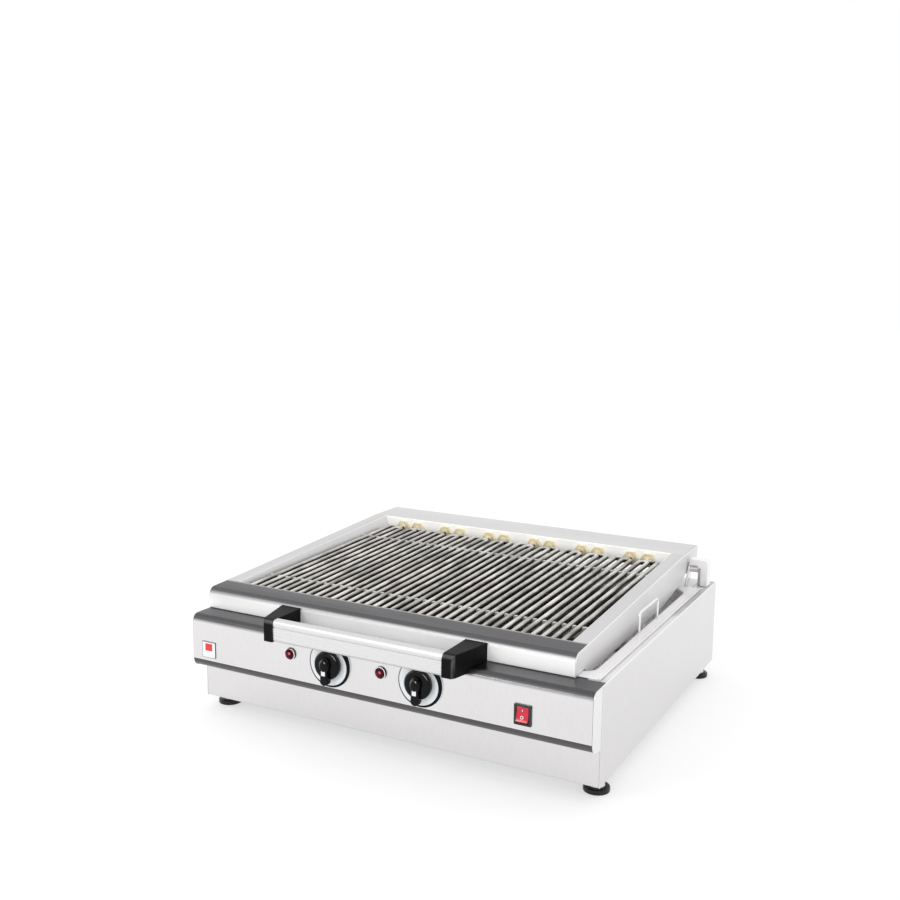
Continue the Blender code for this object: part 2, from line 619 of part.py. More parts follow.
def element_centres():
    """The x of each element's middle, from left to right."""
    return [ELEMENT_FIRST_X + index * ELEMENT_SPACING for index in range(ELEMENTS)]


def rod_z(y):
    """Height of the rods' centres, which rise gently to the rear."""
    share = min((y - ROD_FRONT_Y) / (ROD_REAR_Y - ROD_FRONT_Y), 1.0)
    return ROD_FRONT_Z + (ROD_REAR_Z - ROD_FRONT_Z) * share


def element_route(middle):
    """Plan route of one element: out of its left nut, six rods with U-turns, and into its right nut."""
    outer = 2.5 * ROD_PITCH
    lead = [(-NUT_OFFSET, TUBE_END_Y), (-NUT_OFFSET, CROSSOVER_Y + 0.0060)]
    lead += [(-NUT_OFFSET - 0.0020, CROSSOVER_Y + 0.0015), (-NUT_OFFSET - 0.0062, CROSSOVER_Y)]
    lead += [(-outer + 0.0062, CROSSOVER_Y), (-outer + 0.0016, CROSSOVER_Y - 0.0018),
             (-outer, CROSSOVER_Y - 0.0062)]
    turns = []
    for index in range(5):
        centre_x = (index - 2) * ROD_PITCH
        if index % 2 == 0:
            turns += arc((centre_x, ROD_FRONT_Y), ROD_PITCH / 2, 180, 360, 4)
        else:
            turns += arc((centre_x, ROD_REAR_Y), ROD_PITCH / 2, 180, 0, 4)
    tail = [(-x, y) for x, y in reversed(lead)]
    return [(middle + x, y, rod_z(y)) for x, y in lead + turns + tail]


def make_elements():
    """Six rod elements, each with the two brass nuts that are swaged onto its ends."""
    for index, middle in enumerate(element_centres(), start=1):
        element = tube(f"element_{index}", element_route(middle), ROD_RADIUS, ROD)
        for sign in (-1, 1):
            thick = BOX_FRONT - GAP - NUT_FRONT_Y
            join(element, cylinder("nut", (middle + sign * NUT_OFFSET, NUT_FRONT_Y + thick / 2, ROD_REAR_Z),
                                   NUT_ACROSS_FLATS / math.sqrt(3), thick, "Y", sides=6))


def make_supports():
    """Two notched bars under the rods, fixed between the rails' inner walls."""
    span = (RAIL_LEFT_INNER + GAP, RAIL_RIGHT_INNER - GAP)
    for place_name, y in SUPPORT_YS.items():
        seat = rod_z(y) - ROD_RADIUS - GAP
        teeth = rod_z(y) + 0.0028
        half_slot = ROD_RADIUS + GAP
        top = []
        for middle in element_centres():
            for rod in range(6):
                x = middle + (rod - 2.5) * ROD_PITCH
                top += [(x - half_slot, teeth), (x - half_slot, seat), (x + half_slot, seat),
                        (x + half_slot, teeth)]
        outline = [(span[0], seat - 0.0120), (span[0], teeth)] + top + [(span[1], teeth),
                                                                        (span[1], seat - 0.0120)]
        extrusion(f"rod_support_{place_name}", outline, (y - 0.0023, y + 0.0023), "Y", STEEL)


def make_handle():
    """The bar across the front of the head, held by two tapering brackets that clear the control panel."""
    low, high = HANDLE_Z
    front, rear = BAR_Y
    section = (arc((front + 0.007, high - 0.007), 0.007, 180, 90, 4)
               + arc((rear - 0.002, high - 0.002), 0.002, 90, 0, 1)
               + arc((rear - 0.002, low + 0.002), 0.002, 0, -90, 1)
               + arc((front + 0.005, low + 0.005), 0.005, -90, -180, 3))
    extrusion("handle_bar", section, BAR_X, "X", ALUMINIUM)
    root = NOSE_FACE - GAP
    for side, inner_x, outward in (("left", BAR_X[0] - GAP, -1), ("right", BAR_X[1] + GAP, 1)):
        tip_x = inner_x + outward * BRACKET_TIP_WIDTH
        plan = [(inner_x, root), (inner_x + outward * BRACKET_WIDTH, root), (tip_x, HANDLE_FRONT + 0.006),
                (tip_x - outward * 0.004, HANDLE_FRONT), (inner_x, HANDLE_FRONT)]
        bracket = extrusion(f"handle_bracket_{side}", plan, HANDLE_Z, "Z", BLACK_PLASTIC)
        round_centre = (PANEL_FACE + PANEL_RADIUS, BASE_TOP - PANEL_RADIUS)
        clearance = [(root + 0.01, BASE_TOP + 0.0010)]
        clearance += arc(round_centre, PANEL_RADIUS + 0.0010, 90, 180, 5)
        clearance += [(PANEL_FACE - 0.0010, low - 0.01), (root + 0.01, low - 0.01)]
        cut(bracket, extrusion("panel clearance", clearance, (-HALF, HALF), "X"))
        soften(bracket, 0.0015)


# ---------------------------------------------------------------------------------------------- build

make_base_panels()
make_control_panel()
make_water_tray()
make_feet()
make_mains_inlet()
for which, knob_x in KNOB_XS.items():
    make_rotary_control(which, knob_x)
for which, lamp_x in LAMP_XS.items():
    make_lamp(which, lamp_x)
make_rocker_switch()
make_badge()
make_hinge()
make_head_frame()
make_elements()
make_supports()
make_handle()
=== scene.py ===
"""Looks for the electric vapour grill: every visible piece, its material, the studio and the camera.

All places are in the row frame: metres, x across the front, y to the rear, z up from the feet. They come
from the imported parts' boxes wherever a box gives them; the shapes inside a box are given here.
"""

import math

import bmesh
import bpy
from mathutils import Matrix, Vector


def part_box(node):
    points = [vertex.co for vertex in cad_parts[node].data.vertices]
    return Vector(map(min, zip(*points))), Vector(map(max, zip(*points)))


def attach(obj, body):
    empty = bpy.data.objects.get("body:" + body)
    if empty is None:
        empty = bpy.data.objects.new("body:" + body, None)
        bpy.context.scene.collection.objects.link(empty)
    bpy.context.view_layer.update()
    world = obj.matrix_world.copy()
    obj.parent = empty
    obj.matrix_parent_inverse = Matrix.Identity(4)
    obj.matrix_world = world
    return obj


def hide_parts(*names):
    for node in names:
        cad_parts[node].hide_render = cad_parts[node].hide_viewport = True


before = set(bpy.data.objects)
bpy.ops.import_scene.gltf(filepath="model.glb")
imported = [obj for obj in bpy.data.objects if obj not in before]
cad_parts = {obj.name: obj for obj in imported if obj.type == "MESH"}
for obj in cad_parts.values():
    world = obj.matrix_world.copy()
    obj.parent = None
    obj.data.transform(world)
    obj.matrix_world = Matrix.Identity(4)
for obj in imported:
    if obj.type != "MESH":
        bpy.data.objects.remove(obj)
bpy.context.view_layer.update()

# The gap between neighbouring parts, and how far a cutter reaches past what it cuts
GAP = 0.0003
OVER = 0.01

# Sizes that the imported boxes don't give
SHEET = 0.0012
PANEL_RADIUS = 0.011
PANEL_FACE_BOTTOM = 0.0977
PANEL_LIP_RADIUS = 0.0147
CAP_DROP = 0.0014
NOSE_RADIUS = 0.0125
NOSE_TOP_FRONT = 0.2065
LEDGE_INNER = 0.322
DECK_HALF = 0.3216
TRAY_PAN_HALF = 0.319
TRAY_FLOOR_RADIUS = 0.014
TRAY_CORNER_RADIUS = 0.022
ROD_RADIUS = 0.0044
FOLD_RADIUS = 0.0022
ROD_PITCH = 0.0162
ROD_FRONT_Z = 0.2004
ROD_REAR_Z = 0.2122
NUT_OFFSET = 0.0166
NUT_FLATS = 0.024
RAIL_TOP_INNER = {"left": -0.3235, "right": 0.281}
CHEEK_BOTTOM = 0.174
DIAL_BORDER = 0.0025
TAB_RISE = 0.0185
KNOB_RIBS = 60
LENS_PRISMS = 16
HEAD_PIVOT = Vector((0.0, 0.2865, 0.2))
ROCKER_PIVOT_DEPTH = 0.0295
HINGE_CROWN = 0.0109
BRACKET_RADIUS = 0.01
SCREW_INSET = 0.01
REAR_SCREWS_X = (-0.33, -0.165, 0.0, 0.165, 0.33)
REAR_SCREWS_Z = (("low", 0.034), ("high", 0.15))
SIDES = (("left", -1), ("right", 1))
CORNERS = ("front_left", "front_right", "rear_left", "rear_right")

# Photograph's viewpoint
CAMERA_PLACE = (0.8364, -1.6469, 0.7344)
CAMERA_AZIMUTH = 27.994
CAMERA_ELEVATION = 9.321
CAMERA_ROLL = 0.645
CAMERA_LENS = 44.04


# -------- mesh tools

# Degrees, and the axis to turn about, from the z axis to the named one
LATHE_TURNS = {"Z": (0, "X"), "-Z": (180, "X"), "-Y": (90, "X"), "Y": (-90, "X"), "X": (90, "Y")}


def new_mesh_object(name, bm):
    """Link a bmesh as an object, with faces turned outwards."""
    bmesh.ops.recalc_face_normals(bm, faces=bm.faces)
    mesh = bpy.data.meshes.new(name)
    bm.to_mesh(mesh)
    bm.free()
    obj = bpy.data.objects.new(name, mesh)
    bpy.context.scene.collection.objects.link(obj)
    return obj


def apply_modifiers(obj):
    """Keep the evaluated mesh as the object's own."""
    bpy.context.view_layer.update()
    mesh = bpy.data.meshes.new_from_object(obj.evaluated_get(bpy.context.evaluated_depsgraph_get()))
    obj.modifiers.clear()
    obj.data = mesh
    return obj


def boolean(obj, other, operation):
    """Cut, join or intersect another solid with obj, and remove the other."""
    change = obj.modifiers.new(operation.lower(), "BOOLEAN")
    change.operation = operation
    change.solver = "EXACT"
    change.object = other
    apply_modifiers(obj)
    bpy.data.objects.remove(other)
    return obj


def cut(obj, *others):
    """Take other solids out of obj."""
    for other in others:
        boolean(obj, other, "DIFFERENCE")
    return obj


def unite(obj, *others):
    """Join other solids to obj."""
    for other in others:
        boolean(obj, other, "UNION")
    return obj


def soften(obj, width, segments=3, angle=35):
    """Round the sharp edges and keep the flats flat in shading."""
    bevel = obj.modifiers.new("soft edges", "BEVEL")
    bevel.width = width
    bevel.segments = segments
    bevel.limit_method = "ANGLE"
    bevel.angle_limit = math.radians(angle)
    return smooth(apply_modifiers(obj), 60)


def smooth(obj, angle=35):
    """Smooth shading except over edges sharper than the angle, led by the largest faces."""
    for polygon in obj.data.polygons:
        polygon.use_smooth = True
    obj.data.set_sharp_from_angle(angle=math.radians(angle))
    flats = obj.modifiers.new("flats", "WEIGHTED_NORMAL")
    flats.mode = "FACE_AREA"
    flats.weight = 100
    flats.keep_sharp = True
    return apply_modifiers(obj)


def box(name, low, high):
    """A box between two corners."""
    low, high = Vector(low), Vector(high)
    bm = bmesh.new()
    bmesh.ops.create_cube(bm, size=1.0)
    bmesh.ops.scale(bm, vec=high - low, verts=bm.verts)
    bmesh.ops.translate(bm, vec=(high + low) / 2, verts=bm.verts)
    return new_mesh_object(name, bm)


def extrude(name, outline, span, axis):
    """Extrude a flat outline along X (given in y, z), Y (given in x, z) or Z (given in x, y)."""
    order = {"X": (2, 0, 1), "Y": (0, 2, 1), "Z": (0, 1, 2)}[axis]
    bm = bmesh.new()
    first, second = ([bm.verts.new([(a, b, end)[index] for index in order]) for a, b in outline]
                     for end in span)
    bm.faces.new(first)
    bm.faces.new(second[::-1])
    for index in range(len(outline)):
        after = (index + 1) % len(outline)
        bm.faces.new((first[index], first[after], second[after], second[index]))
    return new_mesh_object(name, bm)


def circle_steps(sides):
    """Equal angles round a full turn."""
    return [2 * math.pi * step / sides for step in range(sides)]


def lathe(name, profile, centre, axis="Z", sides=48):
    """Turn a (radius, distance along) profile about an axis; one that starts on the axis makes a solid."""
    degrees, about = LATHE_TURNS[axis]
    turn = Matrix.Rotation(math.radians(degrees), 4, about)
    bm = bmesh.new()
    rings = []
    for radius, along in profile:
        if radius < 1e-7:
            rings.append([bm.verts.new((0, 0, along))])
            continue
        rings.append([bm.verts.new((radius * math.cos(a), radius * math.sin(a), along))
                      for a in circle_steps(sides)])
    pairs = list(zip(rings, rings[1:]))
    if len(rings[0]) > 1:
        pairs.append((rings[-1], rings[0]))
    for near, far in pairs:
        for step in range(sides):
            after = (step + 1) % sides
            corners = list(dict.fromkeys((near[step % len(near)], near[after % len(near)],
                                          far[after % len(far)], far[step % len(far)])))
            if len(corners) > 2:
                bm.faces.new(corners)
    bmesh.ops.transform(bm, matrix=Matrix.Translation(Vector(centre)) @ turn, verts=bm.verts)
    return smooth(new_mesh_object(name, bm))


def hole(radius, centre, axis, sides=32, reach=OVER):
    """A round cutter that reaches both ways from a centre."""
    return lathe("hole", [(0, -reach), (radius, -reach), (radius, reach), (0, reach)], centre, axis, sides)


def skin(bm, rings):
    """Join closed rings of equal length one to the next, and give back their vertices."""
    loops = [[bm.verts.new(point) for point in ring] for ring in rings]
    count = len(loops[0])
    for near, far in zip(loops, loops[1:]):
        for step in range(count):
            after = (step + 1) % count
            bm.faces.new((near[step], near[after], far[after], far[step]))
    return loops


def loft(name, rings):
    """Skin closed rings, and close the first and the last."""
    bm = bmesh.new()
    loops = skin(bm, rings)
    bm.faces.new(loops[0])
    bm.faces.new(loops[-1][::-1])
    return new_mesh_object(name, bm)


def front_ring(centre, along, half_x, half_z, sides, ripple=lambda angle: 1.0):
    """A ring round the y axis, a distance in front of a centre."""
    x, y, z = centre
    return [(x + half_x * ripple(a) * math.cos(a), y - along, z + half_z * ripple(a) * math.sin(a))
            for a in circle_steps(sides)]


def sweep(name, points, radius, sides=14):
    """A round bar along a path, with flat ends."""
    points = [Vector(point) for point in points]
    tangents = []
    for index, point in enumerate(points):
        before = points[max(index - 1, 0)]
        after = points[min(index + 1, len(points) - 1)]
        tangents.append((after - before).normalized())
    side = tangents[0].orthogonal().normalized()
    rings = []
    for point, tangent in zip(points, tangents):
        side = (side - tangent * side.dot(tangent)).normalized()
        other = tangent.cross(side)
        rings.append([point + side * (radius * math.cos(a)) + other * (radius * math.sin(a))
                      for a in circle_steps(sides)])
    return smooth(loft(name, rings), 50)


def arc(centre, radius, start, end, steps):
    """Points on an arc, from one angle to another in degrees."""
    angles = [math.radians(start + (end - start) * step / steps) for step in range(steps + 1)]
    return [(centre[0] + radius * math.cos(a), centre[1] + radius * math.sin(a)) for a in angles]


def rounded_outline(centre, half_width, half_height, radius, steps=4):
    """A rounded rectangle outline about a point."""
    width, height = half_width - radius, half_height - radius
    points = []
    for corner, start in (((width, height), 0), ((-width, height), 90), ((-width, -height), 180),
                          ((width, -height), 270)):
        points += arc(corner, radius, start, start + 90, steps)
    return [(centre[0] + across, centre[1] + up) for across, up in points]


def level_ring(x_half, y_low, y_high, radius, z):
    """A rounded rectangle ring at a height, centred on x = 0."""
    outline = rounded_outline((0, (y_low + y_high) / 2), x_half, (y_high - y_low) / 2, radius, 6)
    return [(x, y, z) for x, y in outline]


def fold(points, radius, steps=5):
    """Replace the inner corners of an open outline with bends of the given radius."""
    out = [points[0]]
    for before, corner, after in zip(points, points[1:], points[2:]):
        corner, back, on = Vector(corner), Vector(before) - Vector(corner), Vector(after) - Vector(corner)
        half = back.angle(on) / 2
        reach = min(radius / math.tan(half), back.length * 0.49, on.length * 0.49)
        start, end = corner + back.normalized() * reach, corner + on.normalized() * reach
        for step in range(steps + 1):
            t = step / steps
            out.append(tuple(start * (1 - t) ** 2 + corner * (2 * t * (1 - t)) + end * t ** 2))
    return out + [points[-1]]


def sheet_band(outline, thickness=SHEET):
    """Close an open outline into sheet metal, with the thickness on the left of its direction."""
    inner = []
    for index, (across, up) in enumerate(outline):
        before = outline[max(index - 1, 0)]
        after = outline[min(index + 1, len(outline) - 1)]
        way = Vector((after[0] - before[0], after[1] - before[1])).normalized()
        inner.append((across - way.y * thickness, up + way.x * thickness))
    return list(outline) + inner[::-1]


# -------- materials

def rgba(colour):
    """A colour, or a grey given as one number, with full opacity."""
    return (*colour, 1.0) if isinstance(colour, tuple) else (colour, colour, colour, 1.0)


class Nodes:
    """A short way to write one material's node tree."""

    def __init__(self, name):
        self.material = bpy.data.materials.new(name)
        self.material.use_nodes = True
        self.tree = self.material.node_tree
        self.surface = self.tree.nodes["Principled BSDF"]
        self.coords = self.add("ShaderNodeTexCoord")

    def add(self, kind, **settings):
        """A new node with its settings."""
        node = self.tree.nodes.new(kind)
        for key, value in settings.items():
            setattr(node, key, value)
        return node

    def join(self, output, target):
        self.tree.links.new(output, target)

    def feed(self, socket, value):
        """Set a socket to a number or a colour, or join an output to it."""
        if isinstance(value, bpy.types.NodeSocket):
            self.join(value, socket)
        elif socket.type == "RGBA":
            socket.default_value = rgba(value)
        else:
            socket.default_value = value

    def combine(self, operation, first, second):
        """A math node on two values."""
        node = self.add("ShaderNodeMath", operation=operation)
        self.feed(node.inputs[0], first)
        self.feed(node.inputs[1], second)
        return node.outputs[0]

    def noise(self, scales, detail=4.0, roughness=0.6):
        """Noise in the object's own space, with one scale or a scale per axis, in cycles per metre."""
        mapping = self.add("ShaderNodeMapping")
        mapping.inputs["Scale"].default_value = scales if isinstance(scales, tuple) else (scales,) * 3
        self.join(self.coords.outputs["Object"], mapping.inputs["Vector"])
        noise = self.add("ShaderNodeTexNoise")
        for key, number in (("Scale", 1.0), ("Detail", detail), ("Roughness", roughness)):
            noise.inputs[key].default_value = number
        self.join(mapping.outputs["Vector"], noise.inputs["Vector"])
        return noise.outputs["Fac"]

    def spread(self, value, low, high, start=0.3, end=0.7):
        """Map a value from start..end to low..high."""
        ranged = self.add("ShaderNodeMapRange")
        for key, number in (("From Min", start), ("From Max", end), ("To Min", low), ("To Max", high)):
            ranged.inputs[key].default_value = number
        self.join(value, ranged.inputs["Value"])
        return ranged.outputs["Result"]

    def rise(self, value, start=0.3, end=0.7):
        """Map a value from start..end to 0..1."""
        return self.spread(value, 0.0, 1.0, start, end)

    def facing(self, axis):
        """How far the object's own surface faces along an axis, from -1 to 1."""
        return self.part("Normal", axis)

    def part(self, kind, axis):
        """One axis of the object's own coordinates or normal."""
        split = self.add("ShaderNodeSeparateXYZ")
        self.join(self.coords.outputs[kind], split.inputs["Vector"])
        return split.outputs[axis]

    def mix(self, factor, first, second, blend="MIX"):
        """Mix two colours or colour sockets."""
        mixer = self.add("ShaderNodeMix", data_type="RGBA", blend_type=blend)
        for index, value in ((0, factor), (6, first), (7, second)):
            self.feed(mixer.inputs[index], value)
        return mixer.outputs[2]

    def edges(self):
        """0 on faces square to an axis, rising to 1 on the rounded edges between them."""
        size = self.add("ShaderNodeVectorMath", operation="ABSOLUTE")
        self.join(self.coords.outputs["Normal"], size.inputs[0])
        split = self.add("ShaderNodeSeparateXYZ")
        self.join(size.outputs["Vector"], split.inputs["Vector"])
        largest = split.outputs["X"]
        for axis in ("Y", "Z"):
            largest = self.combine("MAXIMUM", largest, split.outputs[axis])
        return self.spread(largest, 1.0, 0.0, 0.8, 0.95)

    def toward(self, direction, start, end):
        """Rises from 0 to 1 where the object's own surface turns toward a direction."""
        along = self.add("ShaderNodeVectorMath", operation="DOT_PRODUCT")
        self.join(self.coords.outputs["Normal"], along.inputs[0])
        along.inputs[1].default_value = Vector(direction).normalized()
        return self.rise(along.outputs["Value"], start, end)

    def glow(self, amount):
        """Painted light: a little light of the surface's own, though it is no lamp, for faces that the
        photograph shows evenly white.
        """
        self.surface.inputs["Emission Color"].default_value = (1.0, 0.99, 0.985, 1.0)
        self.join(amount, self.surface.inputs["Emission Strength"])

    def scaled(self, colour, factor):
        """A colour times a grey factor."""
        return self.mix(1.0, colour, factor, "MULTIPLY")

    def ramp(self, value, stops):
        """A ramp over stops of (position, colour)."""
        node = self.add("ShaderNodeValToRGB")
        elements = node.color_ramp.elements
        for index, (position, colour) in enumerate(stops):
            element = elements[index] if index < 2 else elements.new(position)
            element.position = position
            element.color = rgba(colour)
        self.join(value, node.inputs["Fac"])
        return node.outputs["Color"]

    def bump(self, height, strength, distance):
        """Fine relief from a height, with its depth in metres."""
        node = self.add("ShaderNodeBump")
        for key, value in (("Strength", strength), ("Distance", distance), ("Height", height)):
            self.feed(node.inputs[key], value)
        self.join(node.outputs["Normal"], self.surface.inputs["Normal"])

    def finish(self, colour, roughness, metallic=0.0, shine=None, **others):
        """Set the surface; shine is how strongly it reflects where it isn't metal."""
        values = {"Base Color": colour, "Roughness": roughness, "Metallic": metallic, **others}
        if shine is not None:
            values["Specular IOR Level"] = shine
        for key, value in values.items():
            self.feed(self.surface.inputs[key], value)
        return self.material


GRAINS = {"Z": (1700.0, 1700.0, 26.0), "X": (26.0, 1700.0, 1700.0), "Y": (1700.0, 26.0, 1700.0)}
STEEL_TONE = (0.735, 0.722, 0.728)
# Painted light: the dark of a painted reflection on tops, and the light of a painted highlight along folds
# and bands.
PAINTED_REFLECTION_DARK = (0.1, 0.097, 0.103)
PAINTED_HIGHLIGHT_TONE = (0.97, 0.965, 0.96)


def steel(name, grain="Z", tone=STEEL_TONE, roughness=0.3, paint=None, brush=1.0):
    """Brushed stainless: fine streaks along the grain in tone, gloss and height, and faint handling marks.

    A paint function gives the tone over the piece and how metallic it is; brush is the streaks' strength.
    """
    n = Nodes(name)
    streaks = n.noise(GRAINS[grain], detail=6.0, roughness=0.7)
    marks = n.noise(9.0, detail=3.0)
    colour, metallic = paint(n, tone) if paint else (tone, 1.0)
    colour = n.scaled(colour, n.spread(streaks, 1 - 0.032 * brush, 1 + 0.02 * brush))
    colour = n.scaled(colour, n.spread(marks, 0.985, 1.012))
    gloss = n.spread(streaks, roughness - 0.07 * brush, roughness + 0.09 * brush)
    n.bump(streaks, 0.1 * brush, 0.00015)
    return n.finish(colour, gloss, metallic, Anisotropic=0.35)


def satin(metallic):
    """A paint that keeps the tone and sets how metallic it is."""
    return lambda n, tone: (tone, metallic)


def paint_nose(n, tone):
    """The nose: a painted dark reflection on its top, with a painted highlight line at the rear, and a
    painted highlight band low on its face.

    The face's left end is toned down with painted shade, because the strip light falls on it.
    """
    on_top = n.rise(n.facing("Z"), 0.18, 0.66)
    height = n.rise(n.part("Object", "Z"), *NOSE_BAND)
    # Painted highlight and shade down the face, lightest in the band low on it.
    main = n.ramp(height, [(0.0, (0.92, 0.91, 0.905)), (0.3, PAINTED_HIGHLIGHT_TONE), (0.7, (0.89, 0.885, 0.885)),
                           (1.0, (0.77, 0.765, 0.77))])
    left = n.ramp(height, [(0.0, (0.9, 0.89, 0.885)), (0.3, (0.88, 0.875, 0.87)),
                           (0.7, (0.66, 0.655, 0.66)), (1.0, (0.57, 0.565, 0.57))])
    # Painted shade on the face's left end.
    left_end = n.spread(n.part("Object", "X"), 1.0, 0.0, NOSE_LOW.x + 0.02, NOSE_LOW.x + 0.15)
    face = n.mix(left_end, main, left)
    # Painted reflection: the top painted dark, with a painted highlight line at its rear edge.
    top = n.ramp(n.rise(n.part("Object", "Y"), *NOSE_DEPTH),
                 [(0.0, (0.15, 0.145, 0.15)), (0.3, PAINTED_REFLECTION_DARK), (0.9, (0.115, 0.112, 0.118)),
                  (0.96, (0.42, 0.415, 0.42))])
    # Painted light: the face is made to glow a little.
    n.glow(n.spread(on_top, 0.11, 0.0, 0.0, 0.5))
    return n.mix(on_top, face, top), n.spread(on_top, 0.15, 1.0, 0.0, 1.0)


def paint_panel(n, tone):
    """The control panel: a painted dark reflection on its top and rounding, and painted shade, darkest
    where its lower edge turns under.
    """
    facing_up = n.facing("Z")
    # Painted reflection on the top and rounding; painted shade under the lower edge.
    upper = n.mix(n.rise(facing_up, 0.0, 0.46), tone, PAINTED_REFLECTION_DARK)
    under = n.ramp(n.rise(facing_up, 0.0, -1.0),
                   [(0.0, 0.05), (0.03, (0.022, 0.021, 0.023)), (0.06, (0.03, 0.029, 0.031)),
                    (0.1, (0.105, 0.102, 0.107)), (0.6, (0.125, 0.121, 0.126)),
                    (1.0, (0.1, 0.097, 0.1))])
    return n.mix(n.rise(facing_up, -0.02, -0.06), upper, under), 1.0


def paint_side(n, tone):
    """A side panel: a painted highlight along the fold, and a painted darker reflection on the ledge inside
    it, in soft patches.
    """
    facing_up = n.facing("Z")
    patches = n.noise((5.0, 7.0, 5.0), detail=2.0)
    # Painted reflection on the ledge, broken into soft patches, and a painted highlight on the fold.
    ledge = n.scaled((0.66, 0.655, 0.66), n.spread(patches, 0.8, 1.24, 0.46, 0.54))
    edge = n.mix(n.rise(facing_up, 0.2, 0.45), tone, PAINTED_HIGHLIGHT_TONE)
    on_ledge = n.rise(facing_up, 0.86, 0.97)
    return n.mix(on_ledge, edge, ledge), n.spread(on_ledge, 1.0, 0.4, 0.0, 1.0)


def paint_rail(n, tone):
    """A side of the head: painted shade makes its top a little darker than its cheek, with painted
    highlights on the folds between them.
    """
    # Painted shade on the top, and painted highlights on the folds.
    flats = n.scaled(tone, n.spread(n.facing("Z"), 1.0, 0.8, 0.8, 0.95))
    return n.mix(n.edges(), flats, PAINTED_HIGHLIGHT_TONE), 0.12


def paint_channel(n, tone):
    """The rear channel: its front wall is painted light and given a painted glow, standing in for the light
    from the open pan in front of it.
    """
    # Painted light: the front wall is painted near white and made to glow.
    facing_front = n.rise(n.facing("Y"), -0.35, -0.75)
    n.glow(n.spread(facing_front, 0.0, 0.13, 0.0, 1.0))
    return n.mix(facing_front, tone, (1.0, 0.99, 0.965)), n.spread(facing_front, 1.0, 0.05, 0.0, 1.0)


def plated(name, tone=0.86, roughness=0.12):
    """Bright plated or polished metal with faint polishing swirls."""
    n = Nodes(name)
    swirl = n.noise(260.0, detail=5.0)
    colour = n.scaled(tone, n.spread(swirl, 0.96, 1.02))
    n.bump(swirl, 0.03, 0.0001)
    return n.finish(colour, n.spread(swirl, roughness * 0.7, roughness * 1.6), 1.0)


def zinc(name):
    """Galvanised sheet with its spangle."""
    n = Nodes(name)
    spangle = n.add("ShaderNodeTexVoronoi")
    spangle.inputs["Scale"].default_value = 110.0
    n.join(n.coords.outputs["Object"], spangle.inputs["Vector"])
    shade = n.spread(spangle.outputs["Distance"], 0.82, 1.06, 0.0, 0.8)
    colour = n.scaled((0.52, 0.53, 0.54), shade)
    return n.finish(colour, n.spread(spangle.outputs["Distance"], 0.36, 0.55, 0.0, 0.8), 1.0)


def aluminium(name):
    """Satin extruded aluminium, drawn along x."""
    n = Nodes(name)
    lines = n.noise((14.0, 1500.0, 1500.0), detail=5.0, roughness=0.7)
    facing_up = n.facing("Z")
    # Painted highlight and shade: a bright line along the upper front rounding, and the top and underside
    # painted darker.
    tone = n.ramp(n.rise(facing_up, -1.0, 1.0),
                  [(0.0, (0.42, 0.415, 0.42)), (0.45, 0.66), (0.52, 0.7), (0.72, 0.72), (0.8, 1.0),
                   (0.86, 0.72), (1.0, (0.62, 0.615, 0.61))])
    colour = n.scaled(tone, n.spread(lines, 0.985, 1.01))
    n.bump(lines, 0.02, 0.0001)
    return n.finish(colour, n.spread(lines, 0.24, 0.34), n.spread(facing_up, 0.5, 0.15, 0.3, 0.9))


def sheath(name):
    """Heated rod sheath: warm light oxide on top, with painted shade darkening its flanks, mottled along
    its length.
    """
    n = Nodes(name)
    mottle = n.noise((52.0, 17.0, 52.0), detail=5.0)
    stretches = n.noise((60.0, 9.0, 60.0), detail=3.0)
    specks = n.noise((900.0, 500.0, 900.0), detail=3.0)
    # Painted shade: the tone runs from the warm light top to near black on the flanks and underside.
    facing_up = n.combine("ADD", n.facing("Z"), n.spread(mottle, -0.22, 0.2))
    tone = n.ramp(n.rise(facing_up, -0.1, 1.2),
                  [(0.0, (0.014, 0.012, 0.01)), (0.36, (0.03, 0.025, 0.02)), (0.48, (0.2, 0.185, 0.165)),
                   (0.6, (0.56, 0.54, 0.505)), (0.84, (0.74, 0.72, 0.685))])
    colour = n.scaled(tone, n.spread(stretches, 0.62, 1.08, 0.36, 0.58))
    colour = n.scaled(colour, n.spread(mottle, 0.74, 1.1, 0.34, 0.6))
    colour = n.scaled(colour, n.spread(specks, 0.8, 1.08))
    n.bump(specks, 0.25, 0.00012)
    return n.finish(colour, n.spread(mottle, 0.38, 0.6), 0.2)


def brass(name):
    """Pale yellow brass, turned and hexed, dulled a little by heat."""
    n = Nodes(name)
    stain = n.noise(160.0, detail=4.0)
    colour = n.mix(n.rise(stain), (0.8, 0.66, 0.36), (0.95, 0.88, 0.66))
    n.bump(stain, 0.05, 0.0002)
    return n.finish(colour, n.spread(stain, 0.38, 0.52), 0.35)


def black_plastic(name, tone=0.012, grit=2200.0, depth=0.35, roughness=0.42, shine=0.5, edge=0.0):
    """Moulded black plastic with a fine spark-eroded texture, and its rounded edges painted lighter in
    broken patches.
    """
    n = Nodes(name)
    texture = n.noise(grit, detail=3.0, roughness=0.65)
    wear = n.noise(70.0, detail=4.0)
    colour = n.mix(n.rise(wear, 0.35, 0.75), (tone, tone, tone * 1.08),
                   (tone * 2.3, tone * 2.2, tone * 2.4))
    # Rounded edges painted lighter, broken up by noise.
    if edge:
        colour = n.mix(n.scaled(n.edges(), n.spread(wear, 0.6, 1.0)), colour, (edge, edge, edge * 1.03))
    n.bump(texture, depth, 0.0002)
    return n.finish(colour, n.spread(texture, roughness - 0.08, roughness + 0.12), shine=shine)


